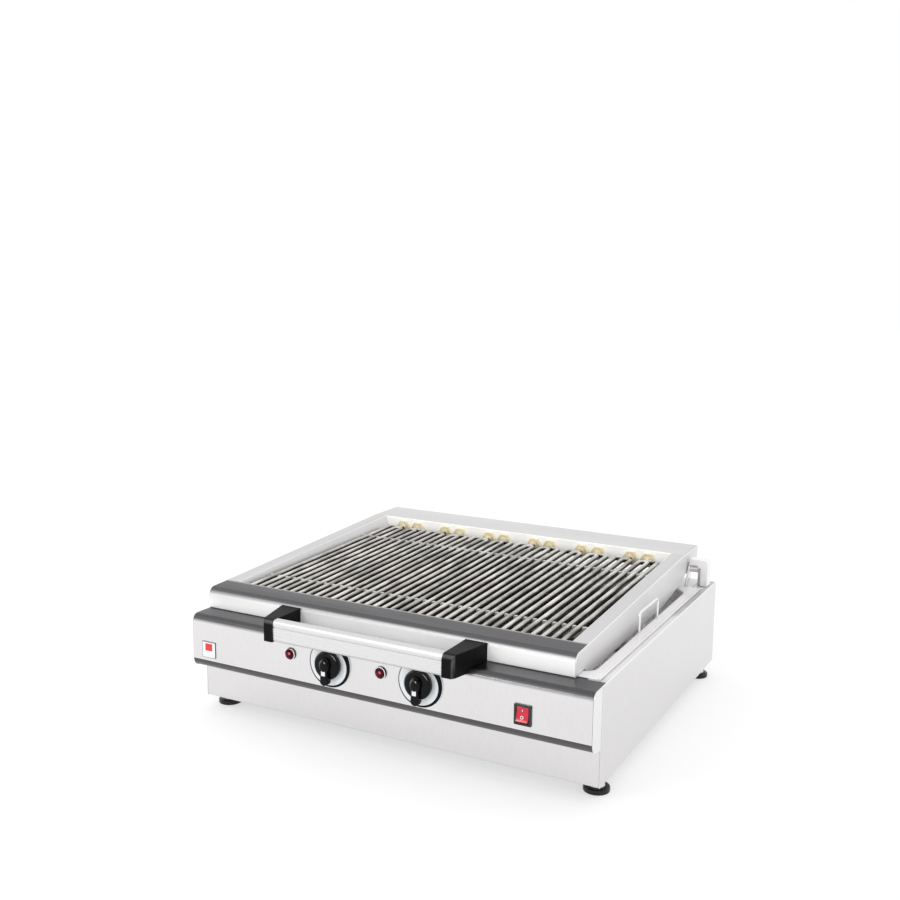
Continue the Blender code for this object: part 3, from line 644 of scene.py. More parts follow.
def glossy(name, colour, roughness=0.12, **others):
    """Glossy moulded plastic with a slight orange peel and colour drift."""
    n = Nodes(name)
    drift = n.noise(40.0, detail=3.0)
    peel = n.noise(700.0, detail=2.0)
    n.bump(peel, 0.05, 0.00008)
    gloss = n.spread(peel, roughness * 0.8, roughness * 1.5)
    return n.finish(n.scaled(colour, n.spread(drift, 0.92, 1.06)), gloss, **others)


def knob_black(name):
    """Glossy black moulding, with a painted sheen on the upper left of its curves and a small painted
    glint.
    """
    n = Nodes(name)
    drift = n.noise(40.0, detail=3.0)
    peel = n.noise(700.0, detail=2.0)
    # Painted highlights: a sheen and a glint where the surface turns toward given directions.
    sheen = n.mix(n.toward((-0.6, -0.68, 0.42), 0.8, 0.99), (0.0035, 0.0035, 0.0037), (0.115, 0.125, 0.13))
    glint = n.mix(n.toward((0.34, -0.86, 0.38), 0.985, 0.998), sheen, (0.42, 0.43, 0.43))
    n.bump(peel, 0.05, 0.00008)
    return n.finish(n.scaled(glint, n.spread(drift, 0.92, 1.06)), n.spread(peel, 0.11, 0.2), shine=0.14)


def lens_red(name):
    """A moulded red lens: deep red, with a painted highlight on its dome and a painted sheen on its lower
    left.
    """
    n = Nodes(name)
    prisms = n.noise(620.0, detail=2.0)
    # Painted highlight on the dome and painted sheen on its lower left.
    spot = n.toward((0.22, -0.92, 0.26), 0.965, 0.998)
    sheen = n.mix(n.toward((-0.55, -0.8, -0.2), 0.8, 0.99), (0.075, 0.001, 0.006), (0.24, 0.008, 0.02))
    colour = n.scaled(n.mix(spot, sheen, (0.62, 0.2, 0.24)), n.spread(prisms, 0.78, 1.1))
    n.bump(prisms, 0.12, 0.0002)
    return n.finish(colour, n.spread(prisms, 0.08, 0.16), shine=0.12)


def pan_steel(name):
    """The water tray: bright on its rim, with painted shade darkening its pan with depth in mottled
    blotches, and left off at the right end.
    """
    n = Nodes(name)
    streaks = n.noise(GRAINS["Y"], detail=5.0, roughness=0.7)
    stain = n.noise(16.0, detail=6.0)
    # Painted shade: darker with depth in the pan, and left off at the right end.
    depth = n.spread(n.part("Object", "Z"), 1.0, 0.0, *TRAY_SHADE_DEPTHS)
    dark = n.mix(n.rise(stain), (0.045, 0.041, 0.038), (0.115, 0.105, 0.094))
    across = n.combine("ADD", n.part("Object", "X"), n.spread(stain, -0.04, 0.04))
    depth = n.scaled(depth, n.spread(across, 1.0, 0.0, *PAN_UNSHADED))
    colour = n.scaled(n.mix(depth, (0.93, 0.92, 0.92), dark), n.spread(streaks, 0.97, 1.02))
    n.bump(streaks, 0.06, 0.00015)
    return n.finish(colour, n.spread(stain, 0.24, 0.42), n.spread(depth, 0.3, 1.0, 0.0, 1.0))


NOSE_LOW, NOSE_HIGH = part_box("nose")
NOSE_BAND = (NOSE_LOW.z, NOSE_TOP_FRONT)
NOSE_DEPTH = (NOSE_LOW.y, NOSE_HIGH.y)
TRAY_LOW, TRAY_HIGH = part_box("water_tray")
# Heights over which the painted shade in the pan comes in, and the x over which it is left off.
TRAY_SHADE_DEPTHS = (TRAY_HIGH.z - 0.034, TRAY_HIGH.z - 0.014)
PAN_UNSHADED = (0.21, 0.26)

MATERIALS = {
    "front": steel("brushed_front", "Z"),
    "side": steel("brushed_side", "Z", roughness=0.22, paint=paint_side),
    "plate": steel("brushed_plate", "Z", (0.86, 0.85, 0.85), 0.26),
    "support": steel("scaled_support", "X", (0.6, 0.58, 0.55), 0.4, satin(0.4)),
    "wall": steel("rail_wall", "Y", (0.8, 0.795, 0.8), 0.3, satin(0.3), brush=0.5),
    "post": steel("drawn_post", "Z", (0.93, 0.912, 0.908), 0.34, satin(0.3), brush=0.1),
    "bead": steel("rolled_bead", "Y", (0.88, 0.875, 0.87), 0.26, satin(0.2), brush=0.3),
    "top": steel("brushed_top", "X", (0.695, 0.685, 0.69), 0.3, paint_channel, brush=0.4),
    "rail": steel("brushed_rail", "Y", (0.745, 0.735, 0.745), 0.32, paint_rail, brush=0.35),
    "nose": steel("brushed_nose", "Z", roughness=0.36, paint=paint_nose, brush=0.3),
    "panel": steel("brushed_panel", "Z", paint=paint_panel),
    "edge": steel("brushed_end_cap", "Z", (0.86, 0.855, 0.85), 0.24),
    "polished": plated("polished_steel"),
    "chrome": plated("chrome", (0.9, 0.9, 0.91), 0.06),
    "dial": steel("dial_silver", "X", (0.8, 0.83, 0.85), 0.4, satin(0.1), brush=0.2),
    "zinc": zinc("galvanised"),
    "aluminium": aluminium("satin_aluminium"),
    "rod": sheath("rod_sheath"),
    "brass": brass("pale_brass"),
    "tray": pan_steel("tray_steel"),
    "bracket": black_plastic("bracket_plastic", 0.0022, 900.0, 0.8, 0.44, 0.1, 0.11),
    "foot": black_plastic("foot_plastic", 0.005, 900.0, 0.1, 0.2, 0.35),
    "body_plastic": black_plastic("body_plastic", 0.02, 1200.0, 0.2, 0.48),
    "knob": knob_black("knob_black"),
    "print": glossy("printed_black", 0.003, 0.3, shine=0.1),
    "border": glossy("border_grey", (0.085, 0.085, 0.09), 0.35),
    "label": glossy("label_white", (0.82, 0.84, 0.85), 0.3),
    "badge_red": glossy("badge_red", (0.72, 0.03, 0.04), 0.3),
    "lens": lens_red("lens_red"),
    "switch": glossy("switch_green_black", (0.003, 0.022, 0.02), 0.18),
    "rocker": glossy("rocker_red", (0.58, 0.008, 0.03), 0.18, **{"Coat Weight": 0.15}),
    "ceramic": glossy("ceramic", (0.74, 0.72, 0.66), 0.55),
}


def place(obj, look, body, *nodes):
    """Give a finished piece its material and body, and hide the CAD nodes that it stands for."""
    obj.data.materials.clear()
    obj.data.materials.append(MATERIALS[look])
    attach(obj, body)
    if nodes:
        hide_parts(*nodes)
    return obj


def middle_of(node):
    """A node's box and its middle."""
    low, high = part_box(node)
    return low, high, (low + high) / 2


def screw_head(name, centre, axis, body, radius=0.0036):
    """A pan-head screw with a cross recess."""
    rise, rounding = radius * 0.78, radius * 0.45
    profile = [(0, 0), (radius, 0), (radius, radius * 0.25)]
    profile += arc((radius - rounding, radius * 0.25), rounding, 0, 90, 4)[1:] + [(0, rise)]
    head = lathe(name, profile, centre, axis, 24)
    out = {"Y": Vector((0, 1, 0)), "-Z": Vector((0, 0, -1))}[axis]
    tip = Vector(centre) + out * radius * 0.78
    plane = [index for index in range(3) if not out[index]]
    for long_axis in plane:
        half = Vector((radius * 0.35,) * 3)
        for index in plane:
            half[index] = radius * (0.62 if index == long_axis else 0.14)
        cut(head, box("recess", tip - half, tip + half))
    return place(smooth(head, 40), "polished", body)


# -------- base

SIDE_LOW, SIDE_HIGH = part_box("side_panel_right")
FRONT = SIDE_LOW.y
BACK = SIDE_HIGH.y
HALF = SIDE_HIGH.x
BASE_TOP = SIDE_HIGH.z
PANEL_LOW, PANEL_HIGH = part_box("control_panel")
PANEL_FACE = PANEL_LOW.y


def panel_outline():
    """The control panel's outside, from its rear top edge over the front to its rear bottom edge."""
    centre = (PANEL_FACE + PANEL_RADIUS, PANEL_HIGH.z - PANEL_RADIUS)
    lip = arc((PANEL_FACE + PANEL_LIP_RADIUS, PANEL_FACE_BOTTOM), PANEL_LIP_RADIUS, 180, 270, 12)
    return ([(PANEL_HIGH.y, PANEL_HIGH.z)] + arc(centre, PANEL_RADIUS, 90, 180, 12) + lip
            + [(FRONT - 0.0004, PANEL_LOW.z + 0.0001)])


def make_control_panel():
    """The folded control panel with its openings, and a flush cap on each end."""
    outline = panel_outline()
    panel = extrude("control_panel_skin", sheet_band(outline), (PANEL_LOW.x, PANEL_HIGH.x), "X")
    for side, _ in SIDES:
        for node, radius in ((f"dial_plate_{side}", 0.006), (f"lamp_bezel_{side}", 0.0066)):
            middle = middle_of(node)[2]
            cut(panel, hole(radius, (middle.x, PANEL_FACE, middle.z), "-Y"))
    low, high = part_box("switch_housing")
    inset = Vector((0.0018, 0.0, 0.0018))
    cut(panel, box("opening", Vector((low.x, PANEL_FACE - OVER, low.z)) + inset,
                   Vector((high.x, PANEL_FACE + OVER, high.z)) - inset))
    place(smooth(panel, 30), "panel", "base", "control_panel")
    for side, _ in SIDES:
        low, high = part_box(f"panel_end_cap_{side}")
        cap = [(FRONT - GAP, high.z)]
        for y, z in outline[1:]:
            below = min(max((PANEL_FACE_BOTTOM - z) / PANEL_LIP_RADIUS, 0.0), 1.0)
            cap.append((y, z - CAP_DROP * below))
        plate = extrude(f"end_cap_{side}", cap, (low.x, high.x), "X")
        place(soften(plate, 0.0003, 2), "edge", "base", f"panel_end_cap_{side}")


def make_side_panels():
    """Side panels with their folded ledges, cut back for the control panel and the rear deck."""
    for side, sign in SIDES:
        path = fold([(sign * LEDGE_INNER, BASE_TOP), (sign * HALF, BASE_TOP), (sign * HALF, SIDE_LOW.z)],
                    FOLD_RADIUS)
        panel = extrude(f"side_{side}", sheet_band(path if sign < 0 else path[::-1]), (FRONT, BACK), "Y")
        inner, outer = sorted((0.0, sign * (HALF - SHEET)))
        for y_low, y_high in ((FRONT - OVER, PANEL_HIGH.y + GAP), (BACK - 0.0015, BACK + OVER)):
            cut(panel, box("ledge end", (inner, y_low, BASE_TOP - OVER), (outer, y_high, BASE_TOP + OVER)))
        place(smooth(panel, 30), "side", "base", f"side_panel_{side}")


def folded_sheet(name, node, corners):
    """A sheet folded along x, over the full width of its node."""
    low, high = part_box(node)
    return extrude(name, sheet_band(fold(corners, FOLD_RADIUS)[::-1]), (low.x, high.x), "X")


def cut_slots(obj, columns, rows, half_width, half_height, to_box):
    """Rows of vent slots at the given centres."""
    for row in rows:
        for column in columns:
            cut(obj, box("vent", *to_box(column - half_width, column + half_width,
                                         row - half_height, row + half_height)))


def make_front_and_rear():
    """The lower front, and the rear with its deck, gland hole, vents and screws."""
    low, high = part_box("lower_front_panel")
    front = folded_sheet("lower_front", "lower_front_panel",
                         [(low.y + 0.012, low.z), (low.y, low.z), (low.y, high.z)])
    place(smooth(front, 30), "front", "base", "lower_front_panel")

    low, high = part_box("rear_panel")
    rear = folded_sheet("rear_skin", "rear_panel", [(low.y, BASE_TOP), (high.y, BASE_TOP), (high.y, low.z)])
    for sign in (-1, 1):
        ends = sorted((sign * DECK_HALF, sign * (HALF + OVER)))
        cut(rear, box("deck notch", (ends[0], low.y - OVER, BASE_TOP - 0.004),
                      (ends[1], high.y - 0.0014, BASE_TOP + OVER)))
    gland = middle_of("cable_gland")[2]
    cut(rear, hole(0.0103, (gland.x, high.y, gland.z), "Y"))
    cut_slots(rear, [-0.11 + step * 0.11 for step in range(3)], [0.055 + step * 0.011 for step in range(5)],
              0.038, 0.0019, lambda a, b, c, d: ((a, high.y - OVER, c), (b, high.y + OVER, d)))
    place(smooth(rear, 30), "front", "base", "rear_panel")
    for index, x in enumerate(REAR_SCREWS_X):
        for level, z in REAR_SCREWS_Z:
            screw_head(f"rear_screw_{level}_{index}", (x, BACK, z), "Y", "base")


def make_floor_pan():
    """The bottom sheet, with holes for the feet and rows of vents."""
    low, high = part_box("bottom_panel")
    pan = box("floor_pan", low, high)
    for name in CORNERS:
        middle = middle_of(f"foot_{name}")[2]
        cut(pan, hole(0.0055, (middle.x, middle.y, low.z), "Z", 24))
    cut_slots(pan, [-0.22 + step * 0.11 for step in range(5)], [0.16 + step * 0.026 for step in range(4)],
              0.035, 0.003, lambda a, b, c, d: ((a, c, low.z - OVER), (b, d, high.z + OVER)))
    place(pan, "zinc", "base", "bottom_panel")


def tray_rings(low, high, rim_top):
    """The tray's rings from its rim, over the rounded lip and down the wall, to the floor's rounding."""
    front, rear = low.y + 0.024, high.y - 0.0237
    rings = [level_ring(TRAY_PAN_HALF + 0.02, low.y + 0.0008, high.y - 0.0008, 0.003, rim_top)]
    for step in range(5):
        angle = math.radians(90 * step / 4)
        out = 0.003 * (1 - math.sin(angle))
        rings.append(level_ring(TRAY_PAN_HALF + out, front - out, rear + out, TRAY_CORNER_RADIUS,
                                rim_top - 0.003 * (1 - math.cos(angle))))
    for step in range(7):
        angle = math.radians(90 * step / 6)
        inset = TRAY_FLOOR_RADIUS * (1 - math.cos(angle))
        within = 0.002 + inset
        rings.append(level_ring(TRAY_PAN_HALF - within, front + within, rear - within,
                                TRAY_CORNER_RADIUS - inset * 0.6,
                                low.z + SHEET + TRAY_FLOOR_RADIUS * (1 - math.sin(angle))))
    return rings


def make_water_tray():
    """The lift-out tray: a drawn pan with rounded corners, a flat rim, and a bead along each side."""
    low, high = TRAY_LOW, TRAY_HIGH
    rim_top = high.z - 0.0012
    bm = bmesh.new()
    bm.faces.new(skin(bm, tray_rings(low, high, rim_top))[-1])
    tray = new_mesh_object("drip_tray", bm)
    if tray.data.polygons[-1].normal.z < 0:
        tray.data.flip_normals()
    thickness = tray.modifiers.new("sheet", "SOLIDIFY")
    thickness.thickness = SHEET
    thickness.offset = -1.0
    apply_modifiers(tray)
    place(smooth(tray, 40), "tray", "base", "water_tray")
    for side, sign in SIDES:
        x = sign * (high.x - 0.003)
        section = [(-0.0029, 0.0)] + arc((0, 0.0001), 0.0029, 175, 5, 8) + [(0.0029, 0.0)]
        section = [(x + across, min(rim_top + up, high.z)) for across, up in section]
        bead = extrude(f"tray_bead_{side}", section, (low.y + 0.001, high.y - 0.001), "Y")
        place(smooth(bead, 50), "bead", "base")


def make_tray_handle():
    """The wire loop that lifts the tray out, on two small welded pads."""
    low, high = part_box("tray_handle")
    x, radius, bend = (low.x + high.x) / 2, (high.x - low.x) / 2, 0.007
    front, rear, top = low.y + radius, high.y - radius, high.z - radius
    loop = [(front, low.z + 0.0006)] + arc((front + bend, top - bend), bend, 180, 90, 8)
    loop += arc((rear - bend, top - bend), bend, 90, 0, 8) + [(rear, low.z + 0.0006)]
    wire = sweep("tray_loop", [(x, y, z) for y, z in loop], radius, 16)
    place(wire, "chrome", "base", "tray_handle")
    for name, y in (("front", front), ("rear", rear)):
        profile = [(0, 0), (0.004, 0), (0.004, 0.0005), (0.0031, 0.0012), (0, 0.0012)]
        pad = lathe(f"loop_pad_{name}", profile, (x, y, low.z - 0.0002), "Z", 24)
        place(pad, "polished", "base")


def make_feet():
    """Four levelling feet: a moulded disc with a boss, on a threaded bright stem."""
    for name in CORNERS:
        low, high, centre = middle_of(f"foot_{name}")
        radius = (high.x - low.x) / 2
        body = f"foot_{name}_body"
        ground = (centre.x, centre.y, 0)
        disc = [(0, 0), (radius - 0.0018, 0), (radius - 0.0004, 0.0006), (radius, 0.0018), (radius, 0.0052),
                (radius - 0.0005, 0.0068), (radius - 0.0018, 0.0078), (0.0135, 0.0086), (0, 0.0086)]
        boss = [(0, 0.0087), (0.0122, 0.0087), (0.0122, 0.0094), (0.0117, 0.01), (0.0115, 0.0124),
                (0.0108, 0.0133), (0.0052, 0.0135), (0, 0.0135)]
        stem = [(0, 0.013)]
        for turn in range(17):
            z = 0.0135 + turn * 0.00125
            stem += [(0.0046, z), (0.005, z + 0.0006)]
        stem += [(0.0044, 0.0348), (0, 0.0348)]
        place(lathe(f"foot_disc_{name}", disc, ground, "Z", 56), "foot", body, f"foot_{name}")
        place(lathe(f"foot_boss_{name}", boss, ground, "Z", 48), "bead", body)
        place(lathe(f"foot_stem_{name}", stem, ground, "Z", 24), "polished", body)


def make_inlet():
    """The cable gland: a flange, a ribbed gripping nut and a tapered nose."""
    middle = middle_of("cable_gland")[2]
    centre = (middle.x, BACK, middle.z)
    profile = [(0.0066, -0.0118), (0.0098, -0.0118), (0.0098, 0.0003), (0.0143, 0.0003), (0.0145, 0.0008),
               (0.0145, 0.0058), (0.0141, 0.0063), (0.0131, 0.0064), (0.0131, 0.0138), (0.0126, 0.0146),
               (0.0103, 0.0187), (0.0098, 0.0192), (0.007, 0.0192), (0.0066, 0.0186)]
    gland = lathe("gland", profile, centre, "Y", 48)
    for step in range(6):
        angle = math.radians(60 * step + 30)
        flat = box("flat", (0.0124, 0.007, -0.02), (0.03, 0.0142, 0.02))
        flat.data.transform(Matrix.Translation(centre) @ Matrix.Rotation(angle, 4, "Y"))
        cut(gland, flat)
    place(smooth(gland, 35), "body_plastic", "base", "cable_gland")


# -------- controls

def make_dial(side):
    """A silver dial plate with a black wedge that tapers clockwise round it."""
    low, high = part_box(f"dial_plate_{side}")
    centre = Vector(((low.x + high.x) / 2, high.y, (low.z + high.z) / 2))
    radius = (high.x - low.x) / 2 + DIAL_BORDER
    profile = [(0.006, 0), (radius, 0), (radius, 0.0009), (radius - 0.0004, 0.0013),
               (radius - 0.001, 0.0015), (0.006, 0.0015)]
    place(lathe(f"dial_{side}", profile, centre, "-Y", 96), "dial", "base", f"dial_plate_{side}")
    start, end, steps = 62, -238, 72
    reach = radius - 0.0006
    outer, inner = [], []
    for step in range(steps + 1):
        share = step / steps
        angle = math.radians(start + (end - start) * share)
        thick = 0.0098 * (1 - share) ** 2.5 + 0.001
        for line, distance in ((outer, reach), (inner, reach - thick)):
            line.append((centre.x + distance * math.cos(angle), centre.z + distance * math.sin(angle)))
    wedge = extrude(f"dial_wedge_{side}", outer + inner[::-1], (low.y - 0.0001, low.y + 0.0002), "Y")
    place(wedge, "print", "base")


def make_knob(side):
    """A control knob: a finely ribbed skirt, a rounded wing and a plain pointer label."""
    low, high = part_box(f"knob_{side}")
    x = (low.x + high.x) / 2
    radius = (high.x - low.x) / 2
    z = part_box(f"spindle_{side}")[0].z + 0.003
    body = f"knob_{side}_body"
    rings = []
    for share, along, depth in ((0.9, 0.0, 0.01), (0.96, 0.006, 0.01), (0.95, 0.0078, 0.006),
                                (0.91, 0.0092, 0.0), (0.8, 0.0101, 0.0), (0.45, 0.0106, 0.0)):
        rings.append(front_ring((x, high.y, z), along, radius * share, radius * share, 240,
                                lambda a: 1 - depth * (1 - math.cos(KNOB_RIBS * a))))
    place(smooth(loft(f"knob_skirt_{side}", rings), 40), "knob", body, f"knob_{side}")

    bottom = low.z - z
    make_wing(side, body, (x, high.y, z), bottom)
    tab = z + bottom + TAB_RISE
    for name, look, half_x, half_z, front in (("frame", "chrome", 0.0034, 0.004, 0.0),
                                              ("label", "label", 0.0027, 0.0033, 0.0002)):
        plate = extrude(f"knob_{name}_{side}", rounded_outline((x, tab), half_x, half_z, 0.0009),
                        (high.y - 0.0176 - front, high.y - 0.0164), "Y")
        place(soften(plate, 0.0002, 2), look, body)


def make_wing(side, body, centre, bottom):
    """The knob's grip: a bulb over the upper half, a neck, and a flat pointer lobe at the lower end."""
    x, y, z = centre
    bulb_z = bottom + TAB_RISE + 0.0118
    rings = []
    for step in range(9):
        angle = math.radians(90 * step / 8)
        share = 0.06 + 0.94 * math.sqrt(max(math.cos(angle), 0.0))
        rings.append(front_ring((x, y, z + bulb_z), 0.0085 + 0.0112 * math.sin(angle),
                                0.0092 * share, 0.012 * share, 40))
    place(smooth(loft(f"knob_bulb_{side}", rings), 60), "knob", body)
    rings = []
    for share, along in ((1.0, 0.007), (1.0, 0.0138), (0.97, 0.0155), (0.88, 0.0166), (0.7, 0.0172)):
        half = 0.007 * share
        ring = arc((0, bulb_z - 0.006), half * 0.8, 0, 180, 14)
        ring += arc((0, bottom + 0.005), half, 180, 360, 14)
        rings.append([(x + across, y - along, z + up) for across, up in ring])
    place(smooth(loft(f"knob_lobe_{side}", rings), 50), "knob", body)


def make_lamp(side):
    """A pilot lamp: a chrome bezel with its barrel, and a domed lens with moulded prisms."""
    low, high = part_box(f"lamp_bezel_{side}")
    lens_low, lens_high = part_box(f"lamp_lens_{side}")
    centre = ((low.x + high.x) / 2, PANEL_FACE - GAP, (low.z + high.z) / 2)
    radius = (high.x - low.x) / 2
    barrel = [(0, -0.0198), (0.0062, -0.0198), (0.0062, 0), (radius, 0), (radius, 0.0021), (0, 0.0021)]
    place(lathe(f"lamp_barrel_{side}", barrel, centre, "-Y", 56), "print", "base", f"lamp_bezel_{side}")
    ring = [(0.0083, 0.0021), (radius, 0.0021), (radius - 0.0003, 0.0027), (radius - 0.0008, 0.003),
            (0.0085, 0.003), (0.0083, 0.0028)]
    place(lathe(f"lamp_ring_{side}", ring, centre, "-Y", 56), "chrome", "base")
    reach = (lens_high.x - lens_low.x) / 2
    rise = lens_high.y - lens_low.y
    rings = []
    for angle in (0, 12, 24, 36, 48, 60, 72, 82, 88):
        level = math.cos(math.radians(angle))
        along = 0.0022 + rise * math.sin(math.radians(angle)) * 0.97
        rings.append(front_ring(centre, along, reach * level, reach * level, 96,
                                lambda a: 1 - 0.02 * (1 - math.cos(LENS_PRISMS * a)) * level))
    place(smooth(loft(f"lamp_dome_{side}", rings), 60), "lens", "base", f"lamp_lens_{side}")


def make_switch():
    """The mains switch: a bezel with a cavity, the rocker at rest with I pressed, and its two marks."""
    low, high, middle = middle_of("switch_housing")
    outline = rounded_outline((middle.x, middle.z), (high.x - low.x) / 2, (high.z - low.z) / 2, 0.0012)
    housing = extrude("switch_bezel", outline, (low.y, PANEL_FACE - GAP), "Y")
    soften(housing, 0.0006, 3)
    unite(housing, box("switch body", (middle.x - 0.0112, low.y + 0.0012, middle.z - 0.0132),
                       (middle.x + 0.0112, high.y, middle.z + 0.0132)))
    cut(housing, box("cavity", (middle.x - 0.0098, low.y - OVER, middle.z - 0.0124),
                     (middle.x + 0.0098, high.y - 0.016, middle.z + 0.0124)))
    place(housing, "switch", "base", "switch_housing")

    pivot = Vector((middle.x, FRONT - ROCKER_PIVOT_DEPTH, middle.z))
    turn = Matrix.Translation(pivot) @ Matrix.Rotation(math.radians(-10), 4, "X")
    face = ([(-0.0066, 0.0112), (-0.0072, 0.0106)]
            + [(-0.0055 - 0.0017 * (step / 8) ** 2, 0.0106 * step / 8) for step in range(7, -8, -1)]
            + [(-0.0072, -0.0106), (-0.0066, -0.0112)])
    outline = face + [(0.0, -0.0104), (0.006, -0.004), (0.006, 0.004), (0.0, 0.0104)]
    rocker = extrude("rocker_cap", outline, (-0.0091, 0.0091), "X")
    rocker.data.transform(turn)
    place(soften(rocker, 0.0004, 2, 50), "rocker", "rocker_body", "rocker")
    bar = rounded_outline((0, 0.0058), 0.0005, 0.0014, 0.0003)
    ring = [(0.0016, 0.006), (0.0025, 0.006), (0.0025, 0.0067), (0.0016, 0.0067)]
    for mark in (extrude("rocker_mark_on", bar, (-0.0067, -0.006), "Y"),
                 lathe("rocker_mark_off", ring, (0, 0, -0.004), "-Y", 32)):
        mark.data.transform(turn)
        place(mark, "label", "rocker_body")


def make_badge():
    """A blank plate with a thin raised border and a plain red square."""
    low, high, middle = middle_of("badge")
    half = (high.x - low.x) / 2
    centre = (middle.x, middle.z)
    border = extrude("badge_border", rounded_outline(centre, half, half, 0.001), (low.y, high.y), "Y")
    place(soften(border, 0.0002, 2), "border", "base", "badge")
    plate = extrude("badge_plate", rounded_outline(centre, half - 0.0007, half - 0.0007, 0.001),
                    (low.y - 0.0001, high.y), "Y")
    place(soften(plate, 0.0002, 2), "label", "base")
    square = extrude("badge_square", rounded_outline((middle.x, middle.z + 0.0045), 0.007, 0.006, 0.0006),
                     (low.y - 0.0003, low.y + 0.0003), "Y")
    place(square, "badge_red", "base")


# -------- head

RAIL_LOW, RAIL_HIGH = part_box("rail_right")
BOX_LOW, BOX_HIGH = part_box("rear_box")
HEAD_FACE = RAIL_LOW.y
RAIL_TOP_REAR = RAIL_HIGH.z
RAIL_TOP_FRONT = NOSE_HIGH.z


def nose_outline(bottom):
    """The nose's outside, from the bottom of its face up and back to its rear edge."""
    centre = (HEAD_FACE + NOSE_RADIUS, NOSE_TOP_FRONT - NOSE_RADIUS)
    return [(HEAD_FACE, bottom)] + arc(centre, NOSE_RADIUS, 180, 97, 14) + [(NOSE_HIGH.y, RAIL_TOP_FRONT)]


def rail_top(y):
    """Height of a rail's top, which slopes from the nose up to the rear box."""
    share = (y - NOSE_HIGH.y) / (BOX_LOW.y - NOSE_HIGH.y)
    return RAIL_TOP_FRONT + (RAIL_TOP_REAR - RAIL_TOP_FRONT) * min(max(share, 0.0), 1.0)


def make_nose():
    """The rounded front of the head, with its lower edge turned in."""
    path = nose_outline(NOSE_LOW.z)
    lip = fold([(HEAD_FACE + 0.006, NOSE_LOW.z + 0.0001), (HEAD_FACE, NOSE_LOW.z + 0.0001),
                (HEAD_FACE, NOSE_LOW.z + 0.008)], FOLD_RADIUS)
    outline = sheet_band((lip + path[1:])[::-1])
    nose = extrude("nose_skin", outline, (NOSE_LOW.x, NOSE_HIGH.x), "X")
    place(smooth(nose, 30), "nose", "head", "nose")


def make_rail(side):
    """One side of the head, folded from sheet: an outer cheek, a sloping top and an inner wall."""
    low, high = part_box(f"rail_{side}")
    sign = 1 if side == "right" else -1
    outer, inner = (high.x, low.x) if sign > 0 else (low.x, high.x)
    top_inner = RAIL_TOP_INNER[side]
    knee, lift = (FRONT + 0.516, 0.181), (FRONT + 0.571, BOX_LOW.z)
    dip = [(FRONT + 0.41, 0.166), (FRONT + 0.052, low.z), (FRONT + 0.046, CHEEK_BOTTOM)]
    cheek = nose_outline(CHEEK_BOTTOM) + [(BOX_LOW.y, RAIL_TOP_REAR), (high.y, RAIL_TOP_REAR),
                                          (high.y, BOX_LOW.z), lift, knee]
    if sign > 0:
        cheek += dip
    rail = extrude(f"rail_skin_{side}", cheek, sorted((outer, top_inner)), "X")
    soften(rail, 0.0018, 3, 50)
    front, rear = NOSE_HIGH.y + GAP, BOX_LOW.y - GAP
    inside = sorted((outer - sign * SHEET, inner - sign * 0.02))
    for start, end in ((low.y - OVER, front), (rear, high.y + OVER)):
        cut(rail, box("open end", (inside[0], start, low.z - OVER), (inside[1], end, high.z + OVER)))
    hollow = [(front - OVER, rail_top(front) - SHEET - 0.0005), (rear + OVER, rail_top(rear) - SHEET),
              (rear + OVER, low.z - 0.02), (front - OVER, low.z - 0.02)]
    cut(rail, extrude("hollow", hollow, inside, "X"))
    cut(rail, hole(0.0077, (outer, HEAD_PIVOT.y, HEAD_PIVOT.z), "X"))
    place(smooth(rail, 30), "rail", "head", f"rail_{side}")
    make_rail_wall(side, sign, (inner, top_inner), (front, rear))


def make_rail_wall(side, sign, across, along):
    """A rail's inner wall, which leans in towards the elements below."""
    inner, top_inner = across
    tops = [rail_top(y) - SHEET / 2 for y in along]
    feet = (0.19, 0.199)
    rate = (inner - top_inner) / (tops[1] - feet[1])
    rings = []
    for y, top, foot in zip(along, tops, feet):
        foot_x = top_inner + rate * (top - foot)
        rings.append([(top_inner, y, top), (foot_x, y, foot), (foot_x + sign * SHEET, y, foot),
                      (top_inner + sign * SHEET, y, top)])
    place(loft(f"rail_wall_{side}", rings), "wall", "head")


def make_rear_box():
    """The wiring channel across the rear of the head, with its screwed cover."""
    low, high = BOX_LOW, BOX_HIGH
    channel = folded_sheet("rear_channel", "rear_box",
                           [(low.y, low.z), (low.y, high.z), (high.y, high.z), (high.y, low.z)])
    for middle in element_middles():
        for sign in (-1, 1):
            cut(channel, hole(0.0049, (middle + sign * NUT_OFFSET, low.y, ROD_REAR_Z), "Y", 20, 0.004))
    place(smooth(channel, 30), "top", "head", "rear_box")
    low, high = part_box("rear_box_cover")
    place(soften(box("channel_cover", low, high), 0.0002, 2), "zinc", "head", "rear_box_cover")
    for index in range(5):
        x = low.x + 0.03 + index * (high.x - low.x - 0.06) / 4
        for row, y in (("front", low.y + SCREW_INSET), ("rear", high.y - SCREW_INSET)):
            screw_head(f"cover_screw_{row}_{index}", (x, y, low.z), "-Z", "head", 0.003)


